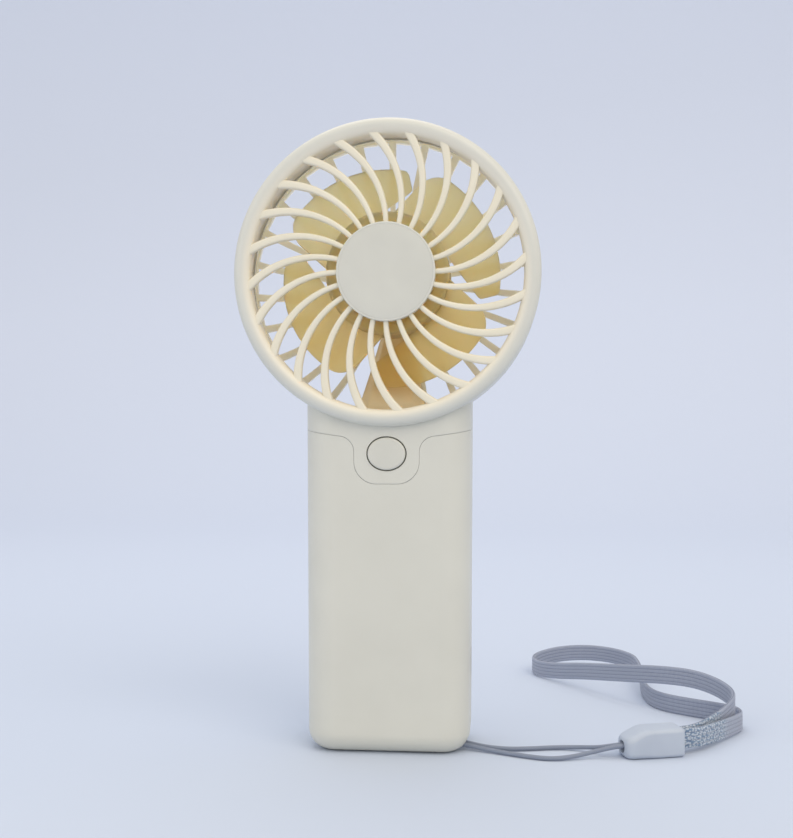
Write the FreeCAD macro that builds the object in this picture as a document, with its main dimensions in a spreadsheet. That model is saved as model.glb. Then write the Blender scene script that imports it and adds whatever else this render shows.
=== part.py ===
import FreeCAD
import Part
import math
import os
import re

Vector = FreeCAD.Vector
Placement = FreeCAD.Placement
Rotation = FreeCAD.Rotation

# Frame: X to the right of someone facing the front, Y away from them, Z up.
# The origin is on the floor under the middle of the handle.  Millimetres.
DIMENSIONS = [
    ("fan_height", 129.3, "axis of the fan above the base"),
    ("ring_radius", 41.2, "outside of the head ring"),
    ("ring_wall", 1.8, "wall of the ring behind its lip"),
    ("lip_radius", 2.28, "half width of the rounded front lip"),
    ("lip_depth", 5.0, "front to back of the lip"),
    ("front_face", 17.0, "foremost plane, measured forward of the middle"),
    ("rear_face", 17.0, "rearmost plane, measured back from the middle"),
    ("parting", 0.8, "plane where front and rear shells meet"),
    ("seam_gap", 0.12, "line left open between neighbouring shells"),
    ("base_width", 44.2, "handle width at the floor"),
    ("neck_width", 45.3, "handle width where it enters the ring"),
    ("handle_depth", 28.0, "handle front to back"),
    ("handle_corner", 8.0, "upright corner radius of the handle"),
    ("base_fillet", 5.5, "rounding around the base"),
    ("shell_wall", 1.8, "wall of the handle shells"),
    ("neck_rise", 16.5, "how far the handle runs up behind the ring"),
    ("neck_round", 3.0, "rounding of the handle's back under the head"),
    ("saddle", 1.0, "extra wall between ring and handle cavity"),
    ("seam_side_drop", 0.3, "seam at the sides, below the ring"),
    ("seam_shoulder_drop", 3.1, "seam where it turns down to the tab, below the ring"),
    ("tab_height", 12.3, "button tab below the shoulders"),
    ("tab_width", 17.6, "width of the button tab"),
    ("tab_corner", 6.0, "lower corner radius of the tab"),
    ("tab_flare", 4.2, "radius where tab and shoulders meet"),
    ("hub_radius", 13.25, "front hub of the grille"),
    ("hub_depth", 3.0, "front to back of the grille hub"),
    ("hub_rim", 0.6, "rim of the grille hub around the cap"),
    ("cap_thickness", 1.1, "centre cap"),
    ("cap_fit", 0.05, "gap around the centre cap"),
    ("rib_count", 24, "front grille ribs"),
    ("rib_depth", 2.2, "front to back of a front rib"),
    ("rib_bend", 25.4, "plan radius of a front rib"),
    ("rib_root", 1.35, "front rib width at the hub"),
    ("rib_tip", 2.3, "front rib width at the ring"),
    ("rib_drop", 0.8, "front ribs behind the foremost plane"),
    ("rib_bite", 1.0, "how deep ribs run into ring and hub"),
    ("band_depth", 3.0, "rear ring band behind the parting plane"),
    ("band_wall", 2.2, "wall of the rear ring band"),
    ("band_round", 1.2, "rounding of the rear ring band"),
    ("dome_skin", 1.6, "thickness of the rear grille"),
    ("dome_bulge", 3.9, "rear grille behind a straight cone, at mid span"),
    ("vent_count", 24, "slots of the rear grille"),
    ("vent_inset", 1.6, "slots outside the motor cup"),
    ("rear_rib_root", 1.3, "rear rib width at the motor cup"),
    ("rear_rib_tip", 2.0, "rear rib width at the ring"),
    ("vent_sweep", 3.0, "degrees a rear rib leans over its length"),
    ("duct_half", 15.2, "half angle of the solid wire duct"),
    ("duct_extra", 0.6, "duct wall over the ribs' thickness"),
    ("cup_wall", 1.9, "wall around the motor"),
    ("cup_front", 1.6, "front plane of the motor cup"),
    ("cup_face", 1.4, "front wall of the motor cup"),
    ("can_fit", 0.1, "motor can in its cup"),
    ("rear_cap_lip", 1.3, "rear cap outside the motor cup"),
    ("rear_cap_thickness", 1.3, "cap over the motor cup"),
    ("spigot_depth", 0.6, "rear cap's collar inside the cup"),
    ("passage_width", 4.4, "wire passage through the motor cup"),
    ("passage_radius", 1.25, "wire hole from duct to handle"),
    ("motor_radius", 12.0, "motor can"),
    ("motor_room", 1.9, "motor to rear cap, where the wires turn"),
    ("motor_wall", 0.8, "motor can"),
    ("motor_screw_place", 6.2, "motor screws from the fan axis"),
    ("end_cap_thickness", 1.2, "motor end cap"),
    ("plug_depth", 0.9, "end cap inside the can"),
    ("shaft_radius", 1.0, "motor shaft"),
    ("shaft_inset", 1.6, "front end of the shaft behind the hub's face"),
    ("shaft_tail", 0.6, "shaft behind the end cap"),
    ("bush_radius", 2.4, "motor bushes"),
    ("bush_nose", 0.9, "front bush in front of the can"),
    ("bush_length", 3.4, "front bush"),
    ("running_gap", 0.03, "shaft in its bushes"),
    ("press_gap", 0.005, "parts seated on the shaft or in a bore"),
    ("air_gap", 0.5, "armature to magnets"),
    ("magnet_inset", 1.0, "magnets behind the can's front wall"),
    ("magnet_angle", 140.0, "degrees one magnet covers"),
    ("armature_radius", 7.8, "laminated core"),
    ("core_inset", 1.8, "core behind the can's front wall"),
    ("core_hub", 3.0, "radius of the core's middle"),
    ("pole_width", 2.4, "one of the core's three poles"),
    ("shoe_depth", 1.4, "pole shoe"),
    ("shoe_angle", 80.0, "degrees one pole shoe covers"),
    ("coil_gap", 0.1, "coil around its pole"),
    ("coil_thickness", 0.7, "winding of one coil"),
    ("coil_clear", 0.4, "coil to hub and to pole shoe"),
    ("commutator_radius", 2.6, "commutator"),
    ("commutator_length", 1.6, "commutator"),
    ("leaf_thickness", 0.4, "brush leaf"),
    ("leaf_length", 0.8, "brush leaf in front of the end cap"),
    ("leaf_height", 5.0, "brush leaf"),
    ("leaf_gap", 0.05, "brush leaf to commutator"),
    ("grille_gap", 1.2, "impeller hub behind the grille hub"),
    ("cup_gap", 0.4, "impeller hub in front of the motor cup"),
    ("hub_cup_radius", 16.7, "impeller hub"),
    ("hub_cup_wall", 1.2, "impeller hub"),
    ("hub_cup_face", 1.4, "front wall of the impeller hub"),
    ("hub_cup_round", 1.0, "rounding around that wall"),
    ("hub_boss", 3.2, "radius of the boss on the shaft"),
    ("hub_boss_short", 1.1, "boss ends in front of the hub's rear rim"),
    ("web_count", 6, "webs in the impeller hub"),
    ("web_thickness", 1.0, "webs in the impeller hub"),
    ("web_short", 3.3, "webs end in front of the hub's rear rim"),
    ("blade_count", 4, "impeller blades"),
    ("blade_tip", 30.4, "impeller tip radius"),
    ("blade_pitch", 11.0, "front to back rise of one blade"),
    ("blade_rear", 0.4, "rear edge plane of a blade"),
    ("blade_thickness", 1.2, "impeller blade"),
    ("blade_span", 75.9, "degrees one blade covers along its tip"),
    ("blade_lean", 40.0, "degrees the clockwise edge leans from tip to root"),
    ("blade_front_lean", 19.2, "degrees the other edge leans from tip to root"),
    ("blade_corner", 5.0, "rounded tip corner"),
    ("blade_blunt", 5.1, "radial depth of the blunt clockwise corner"),
    ("blade_blunt_turn", 4.5, "degrees that corner's shoulder stands out past the tip"),
    ("blade_blunt_round", 1.2, "rounding of the blunt corner's two ends"),
    ("blade_place", 81.3, "angle of the first blade's clockwise tip corner"),
    ("button_width", 10.2, "power button"),
    ("button_height", 8.7, "power button"),
    ("button_drop", 7.3, "middle of the button below the ring"),
    ("button_proud", 0.7, "power button in front of the tab"),
    ("button_round", 0.55, "rounding around its face"),
    ("button_gap", 0.3, "gap around the button"),
    ("button_flange", 1.0, "flange behind the tab, out and through"),
    ("flange_gap", 0.1, "flange to the tab"),
    ("button_stem", 1.6, "radius of the stem"),
    ("switch_side", 6.0, "tact switch"),
    ("switch_depth", 3.5, "tact switch"),
    ("plunger_radius", 1.7, "tact switch plunger"),
    ("plunger_proud", 0.8, "plunger in front of the switch"),
    ("plunger_depth", 1.5, "plunger inside the switch"),
    ("plunger_room", 0.8, "well behind the plunger"),
    ("touch_gap", 0.05, "stem to plunger, and plunger to well"),
    ("usb_level", 22.0, "charging port above the base"),
    ("usb_height", 8.94, "port along the side"),
    ("usb_thickness", 3.2, "port front to back"),
    ("usb_length", 7.3, "socket depth into the handle"),
    ("usb_recess", 1.0, "socket mouth behind the side"),
    ("usb_gap", 0.25, "shell around the socket"),
    ("usb_skin", 0.3, "socket sheet metal"),
    ("usb_back", 0.9, "closed end of the socket"),
    ("tongue_length", 4.9, "contact tongue"),
    ("tongue_thickness", 0.7, "contact tongue"),
    ("tongue_margin", 1.2, "contact tongue to the socket's ends"),
    ("board_thickness", 1.2, "main board"),
    ("board_boss_gap", 0.4, "main board to the screw bosses"),
    ("board_side_gap", 0.6, "main board to the side wall"),
    ("board_bottom", 11.0, "main board above the base"),
    ("board_top_drop", 2.3, "main board below the ring"),
    ("board_screw_in", 3.2, "board screws from the board's sides"),
    ("board_screw_low", 3.5, "board screws from the lower edge"),
    ("board_screw_high", 2.4, "board screws from the upper edge"),
    ("board_screw_length", 6.0, "board screws under the head"),
    ("cell_over_socket", 1.03, "battery cell above the charging socket"),
    ("cell_under_posts", 3.1, "battery cell below the upper board posts"),
    ("cell_side", 5.3, "battery cell to the side walls"),
    ("cell_to_board", 2.4, "battery cell behind the board"),
    ("cell_round", 2.4, "long edges of the cell"),
    ("foam_thickness", 0.6, "pad behind the cell"),
    ("foam_margin", 4.5, "pad inside the cell's outline"),
    ("boss_radius", 2.9, "screw bosses"),
    ("boss_inset", 7.6, "screw bosses from the handle's sides"),
    ("neck_screw_rise", 4.4, "uppermost shell screws above the seam's shoulders"),
    ("tab_screw_drop", 3.2, "middle shell screws below the shoulders"),
    ("base_screw_height", 9.0, "lowest shell screws above the base"),
    ("post_radius", 2.2, "board posts"),
    ("screw_radius", 1.0, "all screws"),
    ("screw_head", 1.9, "all screws"),
    ("head_thickness", 1.2, "all screws"),
    ("recess_width", 0.5, "cross recess in a screw head"),
    ("recess_depth", 0.6, "cross recess in a screw head"),
    ("screw_fit", 0.02, "hole over screw radius"),
    ("head_fit", 0.2, "hole around a screw head"),
    ("screw_spare", 0.5, "hole beyond the end of a screw"),
    ("cover_screw_length", 15.0, "shell screws under the head"),
    ("motor_screw_length", 3.2, "motor screws under the head"),
    ("charger_width", 4.9, "charge controller"),
    ("charger_height", 3.9, "charge controller"),
    ("charger_place", 4.0, "charge controller from the middle"),
    ("driver_side", 3.0, "motor driver"),
    ("driver_place", 6.0, "motor driver from the middle"),
    ("driver_drop", 8.5, "motor driver below the cell's top"),
    ("chip_thickness", 1.2, "both chips"),
    ("choke_side", 4.2, "choke"),
    ("choke_thickness", 2.0, "choke"),
    ("choke_rise", 4.0, "choke above the charging port's middle"),
    ("head_recess", 4.0, "shell screw seats from the handle's back"),
    ("wire_radius", 0.45, "motor and battery wires"),
    ("string_radius", 0.6, "lanyard string"),
    ("slot_height", 3.0, "lanyard slot"),
    ("slot_floor", 1.0, "wall under the lanyard slot"),
    ("slot_width", 7.0, "lanyard slot"),
    ("slot_forward", 4.7, "lanyard slot in front of the middle"),
    ("slot_depth", 5.9, "lanyard slot into the side"),
    ("nest_wall", 1.2, "walls around the lanyard slot"),
    ("lanyard_bar", 0.7, "radius of the bar across the slot"),
    ("bar_place", 2.4, "bar in front of the slot's inner wall"),
    ("clasp_length", 16.4, "strap clasp"),
    ("clasp_height", 7.6, "strap clasp"),
    ("clasp_width", 8.2, "strap clasp"),
    ("clasp_level", 2.8, "string hole above the floor"),
    ("band_level", 4.2, "band slot above the floor"),
    ("clasp_hole", 1.55, "radius of the string hole"),
    ("clasp_slot", 3.4, "width of the band slot"),
    ("clasp_slot_depth", 5.0, "depth of string hole and band slot"),
    ("band_width", 5.5, "woven band, edge to edge"),
    ("band_thickness", 1.1, "woven band"),
    ("band_fit", 0.15, "band in the clasp's slot"),
]

# Centre line of the lanyard string: out of the clasp, round the post, and back.
STRING_ROUTE = [
    (63.9, -9.4, 3.2),
    (60.6, -10.4, 3.0),
    (54.8, -10.8, 1.6),
    (49.4, -13.0, 0.8),
    (43.3, -14.9, 0.62),
    (36.5, -12.6, 0.62),
    (30.4, -9.9, 0.66),
    (25.2, -7.8, 0.9),
    (21.6, -6.6, 1.75),
    (16.8, -6.3, 1.9),
    (16.8, -3.1, 1.9),
    (21.6, -3.1, 1.75),
    (26.4, -4.6, 0.9),
    (32.0, -6.2, 0.64),
    (38.2, -5.8, 0.62),
    (45.2, -3.9, 0.62),
    (51.9, -4.2, 0.9),
    (56.8, -7.5, 1.9),
    (60.2, -9.1, 3.0),
    (63.5, -8.2, 3.2),
]

# Middle of the woven band, which stands on its edge: one end in the clasp, the
# outer fold, the far loop, back over itself, the inner fold and the clasp.
BAND_ROUTE = [
    (75.9, -5.9, 4.2),
    (83.0, -3.6, 4.0),
    (89.8, 5.0, 3.5),
    (95.8, 13.2, 3.1),
    (100.2, 20.3, 2.85),
    (99.5, 27.0, 2.8),
    (93.7, 31.1, 2.8),
    (86.7, 35.4, 2.8),
    (80.2, 40.6, 2.8),
    (76.9, 47.7, 2.8),
    (76.3, 60.3, 3.0),
    (77.5, 70.8, 3.5),
    (77.7, 81.9, 4.2),
    (76.5, 89.5, 5.0),
    (70.1, 97.1, 5.5),
    (60.9, 100.8, 5.6),
    (51.9, 99.4, 5.2),
    (45.2, 96.2, 4.2),
    (41.4, 91.5, 3.2),
    (43.4, 84.0, 2.9),
    (50.0, 76.5, 3.9),
    (57.3, 67.5, 6.0),
    (64.6, 55.4, 8.4),
    (72.4, 45.1, 10.4),
    (80.3, 38.7, 11.6),
    (88.7, 33.4, 11.8),
    (95.3, 27.1, 10.4),
    (98.4, 20.2, 8.2),
    (94.2, 14.5, 5.6),
    (87.9, 5.4, 4.7),
    (81.8, -2.1, 4.1),
    (75.4, -4.3, 4.2),
]

CLASP_PLACE = (70.4, -6.7)
CLASP_TURN = 17.1

doc = FreeCAD.newDocument("hand_fan")
sheet = doc.addObject("Spreadsheet::Sheet", "sizes")
sub_parts = []


def fillSheet():
    for row, (alias, value, note) in enumerate(DIMENSIONS, start=1):
        sheet.set(f"A{row}", alias)
        sheet.set(f"B{row}", str(value))
        sheet.set(f"C{row}", note)
        sheet.setAlias(f"B{row}", alias)
    doc.recompute()


def size(alias):
    return float(sheet.get(alias))


def bind(thing, **texts):
    """Tie properties to sheet cells; a double underscore in a key stands for a dot."""
    for key, text in texts.items():
        cells = re.sub(r"[a-z][a-z_]+\b(?!\()", lambda word: "sizes." + word.group(0), text)
        thing.setExpression(key.replace("__", "."), cells)


def subPart(thing, label):
    thing.Label = label
    sub_parts.append(thing)
    return thing


# ---- primitives, all tied to the sheet ------------------------------------------

def rodAlongY(name, radius, length, x="0", y="0", z="0"):
    rod = doc.addObject("Part::Cylinder", name)
    rod.Placement = Placement(Vector(), Rotation(Vector(1, 0, 0), -90))
    bind(rod, Radius=radius, Height=length)
    bind(rod, Placement__Base__x=x, Placement__Base__y=y, Placement__Base__z=z)
    return rod


def block(name, length, width, height, x, y, z):
    box = doc.addObject("Part::Box", name)
    bind(box, Length=length, Width=width, Height=height)
    bind(box, Placement__Base__x=x, Placement__Base__y=y, Placement__Base__z=z)
    return box


def cut(name, base, tool):
    result = doc.addObject("Part::Cut", name)
    result.Refine = False
    result.Base = base
    result.Tool = tool
    return result


def fuse(name, pieces):
    result = doc.addObject("Part::MultiFuse", name)
    result.Shapes = pieces
    result.Refine = False
    return result


def common(name, pieces):
    result = doc.addObject("Part::MultiCommon", name)
    result.Refine = False
    result.Shapes = pieces
    return result


def solidOf(name, shape):
    feature = doc.addObject("Part::Feature", name)
    feature.Shape = shape
    return feature


def tubeAlongY(name, outer, inner, length, y, x="0", z="fan_height"):
    wall = rodAlongY(name + "_wall", outer, length, x, y, z)
    bore = rodAlongY(name + "_bore", inner, length + " + 2", x, y + " - 1", z)
    return cut(name, wall, bore)


# ---- sketches and bodies --------------------------------------------------------

def newBody(name):
    return doc.addObject("PartDesign::Body", name)


def sketchOn(body, role, name, offset=Vector()):
    """A sketch flat on one of the body's own origin planes, moved by offset in it."""
    plane = next(item for item in body.Origin.OriginFeatures if item.Role == role)
    sketch = body.newObject("Sketcher::SketchObject", name)
    sketch.AttachmentSupport = [(plane, "")]
    sketch.MapMode = "FlatFace"
    sketch.AttachmentOffset = Placement(offset, Rotation())
    return sketch


def feature(body, kind, name, sketch, **settings):
    item = body.newObject("PartDesign::" + kind, name)
    item.Profile = sketch
    for key, value in settings.items():
        setattr(item, key, value)
    return item


def revolved(body, name, corners):
    """Turn a profile of (y, radius) corners about the fan axis."""
    sketch = sketchOn(body, "YZ_Plane", name + "_profile", Vector(0, size("fan_height"), 0))
    bind(sketch, AttachmentOffset__Base__y="fan_height")
    sketch.addGeometry(outline(corners))
    return feature(body, "Revolution", name, sketch, ReferenceAxis=(sketch, ["H_Axis"]), Angle=360)


def outline(corners):
    """Closed chain of lines through corners (u, v) or (u, v, radius), rounded where asked."""
    count = len(corners)
    starts = []
    ends = []
    arcs = []
    for index, corner in enumerate(corners):
        here = Vector(corner[0], corner[1], 0)
        radius = corner[2] if len(corner) > 2 else 0
        before = Vector(*corners[index - 1][:2], 0)
        after = Vector(*corners[(index + 1) % count][:2], 0)
        enter, middle, leave = roundedCorner(before, here, after, radius)
        ends.append(enter)
        starts.append(leave)
        if radius:
            arcs.append(Part.Arc(enter, middle, leave))
        else:
            arcs.append(None)
    edges = []
    for index in range(count):
        if arcs[index]:
            edges.append(arcs[index])
        if (ends[(index + 1) % count] - starts[index]).Length > 1e-6:
            edges.append(Part.LineSegment(starts[index], ends[(index + 1) % count]))
    return edges


def roundedCorner(before, here, after, radius):
    """Start, middle and end of the arc of this radius that rounds a corner."""
    if not radius:
        return here, here, here
    back = (before - here).normalize()
    ahead = (after - here).normalize()
    half = back.getAngle(ahead) / 2
    reach = radius / math.tan(half)
    centre = here + (back + ahead).normalize() * (radius / math.sin(half))
    middle = centre + (here - centre).normalize() * radius
    return here + back * reach, middle, here + ahead * reach


def prismAlongY(corners, front, depth):
    """Solid of an (x, z) outline from the plane y = front backwards."""
    edges = [edge.toShape() for edge in outline(corners)]
    flat = Part.Face(Part.Wire(Part.__sortEdges__(edges)))
    flat.rotate(Vector(), Vector(1, 0, 0), 90)
    flat.translate(Vector(0, front, 0))
    return flat.extrude(Vector(0, depth, 0))


def roundBend(route):
    """Straight runs and tangent arcs through hand-chosen points, as large as the runs allow."""
    points = [Vector(*point) for point in route]
    edges = []
    radii = []
    last = points[0]
    for before, here, after in zip(points, points[1:], points[2:]):
        half_turn = (here - before).getAngle(after - here) / 2
        shorter = min((here - before).Length, (after - here).Length)
        radius = 0.45 * shorter / math.tan(half_turn)
        enter, middle, leave = roundedCorner(before, here, after, radius)
        edges.append(Part.LineSegment(last, enter).toShape())
        edges.append(Part.Arc(enter, middle, leave).toShape())
        radii.append(radius)
        last = leave
    edges.append(Part.LineSegment(last, points[-1]).toShape())
    return Part.Wire(edges), radii


def roundTube(route, radius):
    path, radii = roundBend(route)
    start = path.OrderedEdges[0]
    section = Part.Wire(Part.makeCircle(radius, start.firstVertex().Point, start.tangentAt(start.FirstParameter)))
    tube = path.makePipeShell([section], True, False)
    return tube, path, radii


def report(name, solid, path, area, radii):
    print(f"{name}: length {path.Length:.1f}, volume {solid.Volume:.1f}, "
          f"section x length {area * path.Length:.1f}, smallest radius {min(radii):.2f}")


# ---- forms shared by the shells -------------------------------------------------

def edgeNumbers(shape, wanted):
    return [number for number, edge in enumerate(shape.Edges, start=1) if wanted(edge)]


def upright(edge):
    box = edge.BoundBox
    return box.ZLength > 4 * max(box.XLength, box.YLength)


def roundUprights(name, base, radius):
    doc.recompute()
    result = doc.addObject("Part::Fillet", name)
    result.Base = base
    result.Edges = [(number, radius, radius) for number in edgeNumbers(base.Shape, upright)]
    return result


def roundFloor(name, base, radius, floor):
    doc.recompute()
    result = doc.addObject("Part::Fillet", name)
    result.Base = base
    low = edgeNumbers(base.Shape, lambda edge: edge.BoundBox.ZMax < floor + 0.01)
    result.Edges = [(number, radius, radius) for number in low]
    return result


def handleForm():
    """Outside of handle and neck: a slightly tapered block with soft corners."""
    blank = doc.addObject("Part::Wedge", "handle_blank")
    blank.Placement = Placement(Vector(), Rotation(Vector(1, 0, 0), 90))
    bind(blank, Xmin="-base_width / 2", Xmax="base_width / 2")
    bind(blank, X2min="-neck_width / 2", X2max="neck_width / 2")
    bind(blank, Ymin="0", Ymax="fan_height - ring_radius + neck_rise")
    bind(blank, Zmin="-handle_depth / 2", Zmax="handle_depth / 2")
    bind(blank, Z2min="-handle_depth / 2", Z2max="handle_depth / 2")
    sides = roundUprights("handle_sides", blank, size("handle_corner"))
    return roundFloor("handle_form", sides, size("base_fillet"), 0)


def handleCore():
    """The hollow inside the handle, which ends under the ring."""
    wall = size("shell_wall")
    blank = block("core_blank", "base_width - 2 * shell_wall", "handle_depth - 2 * shell_wall",
                  "fan_height - ring_radius + neck_rise", "-base_width / 2 + shell_wall",
                  "-handle_depth / 2 + shell_wall", "shell_wall")
    sides = roundUprights("core_sides", blank, size("handle_corner") - wall)
    core = roundFloor("core_form", sides, size("base_fillet") - wall, wall)
    head = rodAlongY("core_limit", "ring_radius + saddle", "2 * handle_depth",
                     y="-handle_depth", z="fan_height")
    return cut("handle_core", core, head)


def ringBottom():
    return size("fan_height") - size("ring_radius")


def neckTop():
    return ringBottom() + size("neck_rise")


def sideAt(level):
    """Half width of the tapered handle at a height."""
    base = size("base_width") / 2
    return base + (size("neck_width") / 2 - base) * level / neckTop()


def handleShell():
    hollow = cut("handle_hollow", handleForm(), handleCore())
    bore = rodAlongY("head_bore", "ring_radius - ring_wall / 2", "2 * handle_depth",
                     y="-handle_depth", z="fan_height")
    return cut("handle_shell", hollow, bore)


def seamCorners(drop):
    """The seam across the front, from side to side, lowered by drop; then over the top."""
    side = size("neck_width")
    half = size("tab_width") / 2
    shoulder = seamShoulder()
    bottom = shoulder - size("tab_height") - drop
    corner = min(size("tab_corner"), half - 0.5, 0.55 * size("tab_height"))
    flare = min(size("tab_flare"), 0.4 * size("tab_height"))
    slope = (size("seam_shoulder_drop") - size("seam_side_drop")) / (size("neck_width") / 2 - half)
    edge = shoulder + slope * (side - half)
    return [
        (-side, edge - drop),
        (-half - drop, shoulder - drop, flare),
        (-half - drop, bottom, corner),
        (half + drop, bottom, corner),
        (half + drop, shoulder - drop, flare),
        (side, edge - drop),
        (side, 2 * neckTop()),
        (-side, 2 * neckTop()),
    ]


def seamShoulder():
    return ringBottom() - size("seam_shoulder_drop")


def neckRegion(name, drop):
    return solidOf(name, prismAlongY(seamCorners(drop), -2 * size("front_face"), 4 * size("front_face")))


# ---- screws and their bosses ----------------------------------------------------

def screwPlaces():
    """Middles (x, z) of the shell screws: two in the neck, four in the handle."""
    heights = [
        seamShoulder() + size("neck_screw_rise"),
        seamShoulder() - size("tab_screw_drop"),
        size("base_screw_height"),
    ]
    return [(side * bossOffset(), height) for height in heights for side in (-1, 1)]


def bossOffset():
    return size("base_width") / 2 - size("boss_inset")


def headSeat():
    """Plane under the heads of the shell screws."""
    return size("handle_depth") / 2 - size("head_recess")


def roundPegs(places, radius, front, rear):
    pegs = [
        Part.makeCylinder(radius, rear - front, Vector(x, front, z), Vector(0, 1, 0))
        for x, z in places
    ]
    return Part.makeCompound(pegs)


def frontBosses(name, places, region):
    """Bosses on the inside of a front shell, no further than its own region."""
    front = -size("handle_depth") / 2 + size("shell_wall") / 2
    pegs = solidOf(name, roundPegs(places, size("boss_radius"), front, size("parting")))
    return common(name + "_trimmed", [pegs, region])


def screwHoles(name, places):
    radius = size("screw_radius") + size("screw_fit")
    seat = headSeat()
    shanks = roundPegs(places, radius, seat - size("cover_screw_length") - size("screw_spare"), seat + 1)
    heads = roundPegs(places, size("screw_head") + size("head_fit"), seat, size("rear_face") + 1)
    return solidOf(name, Part.makeCompound([shanks, heads]))


def screws(label, places, seat, length, heading):
    """Pan screws with cross recesses under the plane y = seat; heading +1 puts heads behind it."""
    head_radius = size("screw_head")
    thickness = size("head_thickness")
    narrow = size("recess_width")
    wide = 1.4 * head_radius
    bottom = seat + heading * (thickness - size("recess_depth"))
    mouth = seat + heading * (thickness + 0.1)
    solids = []
    for x, z in places:
        shank = Part.makeCylinder(size("screw_radius"), length, Vector(x, seat, z), Vector(0, -heading, 0))
        head = Part.makeCylinder(head_radius, thickness, Vector(x, seat, z), Vector(0, heading, 0))
        screw = shank.fuse(head)
        for across, up in ((wide, narrow), (narrow, wide)):
            corner = Vector(x - across / 2, min(bottom, mouth), z - up / 2)
            screw = screw.cut(Part.makeBox(across, abs(mouth - bottom), up, corner))
        solids.append(screw.removeSplitter())
    return subPart(solidOf(label + "_form", Part.makeCompound(solids)), label)


# ---- front cover: ring, grille and neck panel -----------------------------------

def ribEdges():
    """Three points (x, z) from the axis along each side of one front rib."""
    bend = size("rib_bend")
    start = size("hub_radius") - size("rib_bite") / 2
    turn = ribTurn(start, bend, size("ring_radius") - 2 * size("lip_radius") + size("rib_bite"))
    sides = {}
    for side in (-1, 1):
        chain = []
        for share in (0, 0.5, 1):
            width = size("rib_root") + share * (size("rib_tip") - size("rib_root"))
            radius = bend + side * width / 2
            angle = turn * share
            chain.append(Vector(start + radius * math.sin(angle), bend - radius * math.cos(angle), 0))
        sides[side] = chain
    return sides


def ribTurn(start, bend, reach):
    """Turn after which an arc that leaves radius start straight outwards is at radius reach."""
    along = 2 * start * bend
    aside = 2 * bend * bend
    rest = (reach * reach - start * start - aside) / math.hypot(along, aside)
    return math.atan2(aside, along) + math.asin(rest)


def frontGrille():
    """Ring, hub and curved ribs of the front moulding."""
    body = newBody("front_grille")
    ring = size("ring_radius")
    lip = size("lip_radius")
    front = -size("front_face")
    inner = ring - size("ring_wall")
    back = front + size("lip_depth")
    revolved(body, "ring", [
        (size("parting"), ring),
        (front, ring, lip - 0.01),
        (front, ring - 2 * lip, lip - 0.01),
        (back, ring - 2 * lip),
        (back, inner),
        (size("parting"), inner),
    ])
    hub = size("hub_radius")
    seat = hub - size("hub_rim") + size("cap_fit")
    floor = front + size("cap_thickness")
    revolved(body, "hub", [
        (floor, 0),
        (floor, seat),
        (front, seat),
        (front, hub, size("hub_rim") / 2),
        (front + size("hub_depth"), hub),
        (front + size("hub_depth"), 0),
    ])
    body.Tip = ribPattern(body)
    return body


def ribPattern(body):
    rib_front = -size("front_face") + size("rib_drop")
    sides = ribEdges()
    plane = Vector(0, size("fan_height"), -rib_front - size("rib_depth"))
    sketch = sketchOn(body, "XZ_Plane", "rib_profile", plane)
    bind(sketch, AttachmentOffset__Base__y="fan_height")
    bind(sketch, AttachmentOffset__Base__z="front_face - rib_drop - rib_depth")
    outer, inner = sides[1], sides[-1]
    sketch.addGeometry([
        Part.Arc(*outer),
        Part.LineSegment(outer[2], inner[2]),
        Part.Arc(*inner),
        Part.LineSegment(inner[0], outer[0]),
    ])
    rib = feature(body, "Pad", "rib", sketch)
    bind(rib, Length="rib_depth")
    ribs = body.newObject("PartDesign::PolarPattern", "ribs")
    ribs.Originals = [rib]
    ribs.Axis = (sketch, ["N_Axis"])
    ribs.Angle = 360
    bind(ribs, Occurrences="rib_count")
    return ribs


def buttonHole():
    grow = size("button_gap")
    oval = ovalPrism(size("button_width") / 2 + grow, size("button_height") / 2 + grow,
                     -size("front_face"), size("front_face"))
    return solidOf("button_hole", oval)


def buttonLevel():
    return ringBottom() - size("button_drop")


def ovalPrism(half_width, half_height, front, depth):
    """Elliptical prism at the button's place, from y = front backwards."""
    wide = half_width >= half_height
    ellipse = Part.Ellipse(Vector(), max(half_width, half_height), min(half_width, half_height))
    flat = Part.Face(Part.Wire(ellipse.toShape()))
    flat.rotate(Vector(), Vector(0, 0, 1), 0 if wide else 90)
    flat.rotate(Vector(), Vector(1, 0, 0), 90)
    flat.translate(Vector(0, front, buttonLevel()))
    return flat.extrude(Vector(0, depth, 0))


def frontCover(shell, front_half):
    region = neckRegion("neck_region", 0)
    neck = common("neck_panel", [shell, front_half, region])
    places = screwPlaces()[:2]
    whole = fuse("front_whole", [neck, frontGrille(), frontBosses("neck_bosses", places, region)])
    drilled = cut("front_drilled", whole, screwHoles("neck_holes", places))
    return subPart(cut("front_form", drilled, buttonHole()), "front_cover")


def centreCap():
    cap = rodAlongY("cap", "hub_radius - hub_rim", "cap_thickness", y="-front_face", z="fan_height")
    return subPart(cap, "centre_cap")


# ---- handle front cover ---------------------------------------------------------

def usbSlot(name):
    """Rounded slot through the side of the handle for the charging port."""
    gap = size("usb_gap")
    half = size("usb_thickness") / 2 + gap
    tall = size("usb_height") / 2 + gap
    level = size("usb_level")
    inside = sideAt(level) - 2 * size("shell_wall")
    across = Part.makeBox(4 * size("shell_wall"), 2 * half, 2 * tall,
                          Vector(inside, size("parting") - half, level - tall))
    long_edges = [edge for edge in across.Edges if edge.BoundBox.XLength > 2 * size("shell_wall")]
    return solidOf(name, across.makeFillet(half - 0.05, long_edges))


def lanyardSlot():
    return block("lanyard_slot", "2 * slot_depth", "slot_width", "slot_height", "base_width / 2 - slot_depth",
                 "-slot_forward - slot_width / 2", "slot_floor")


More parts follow.
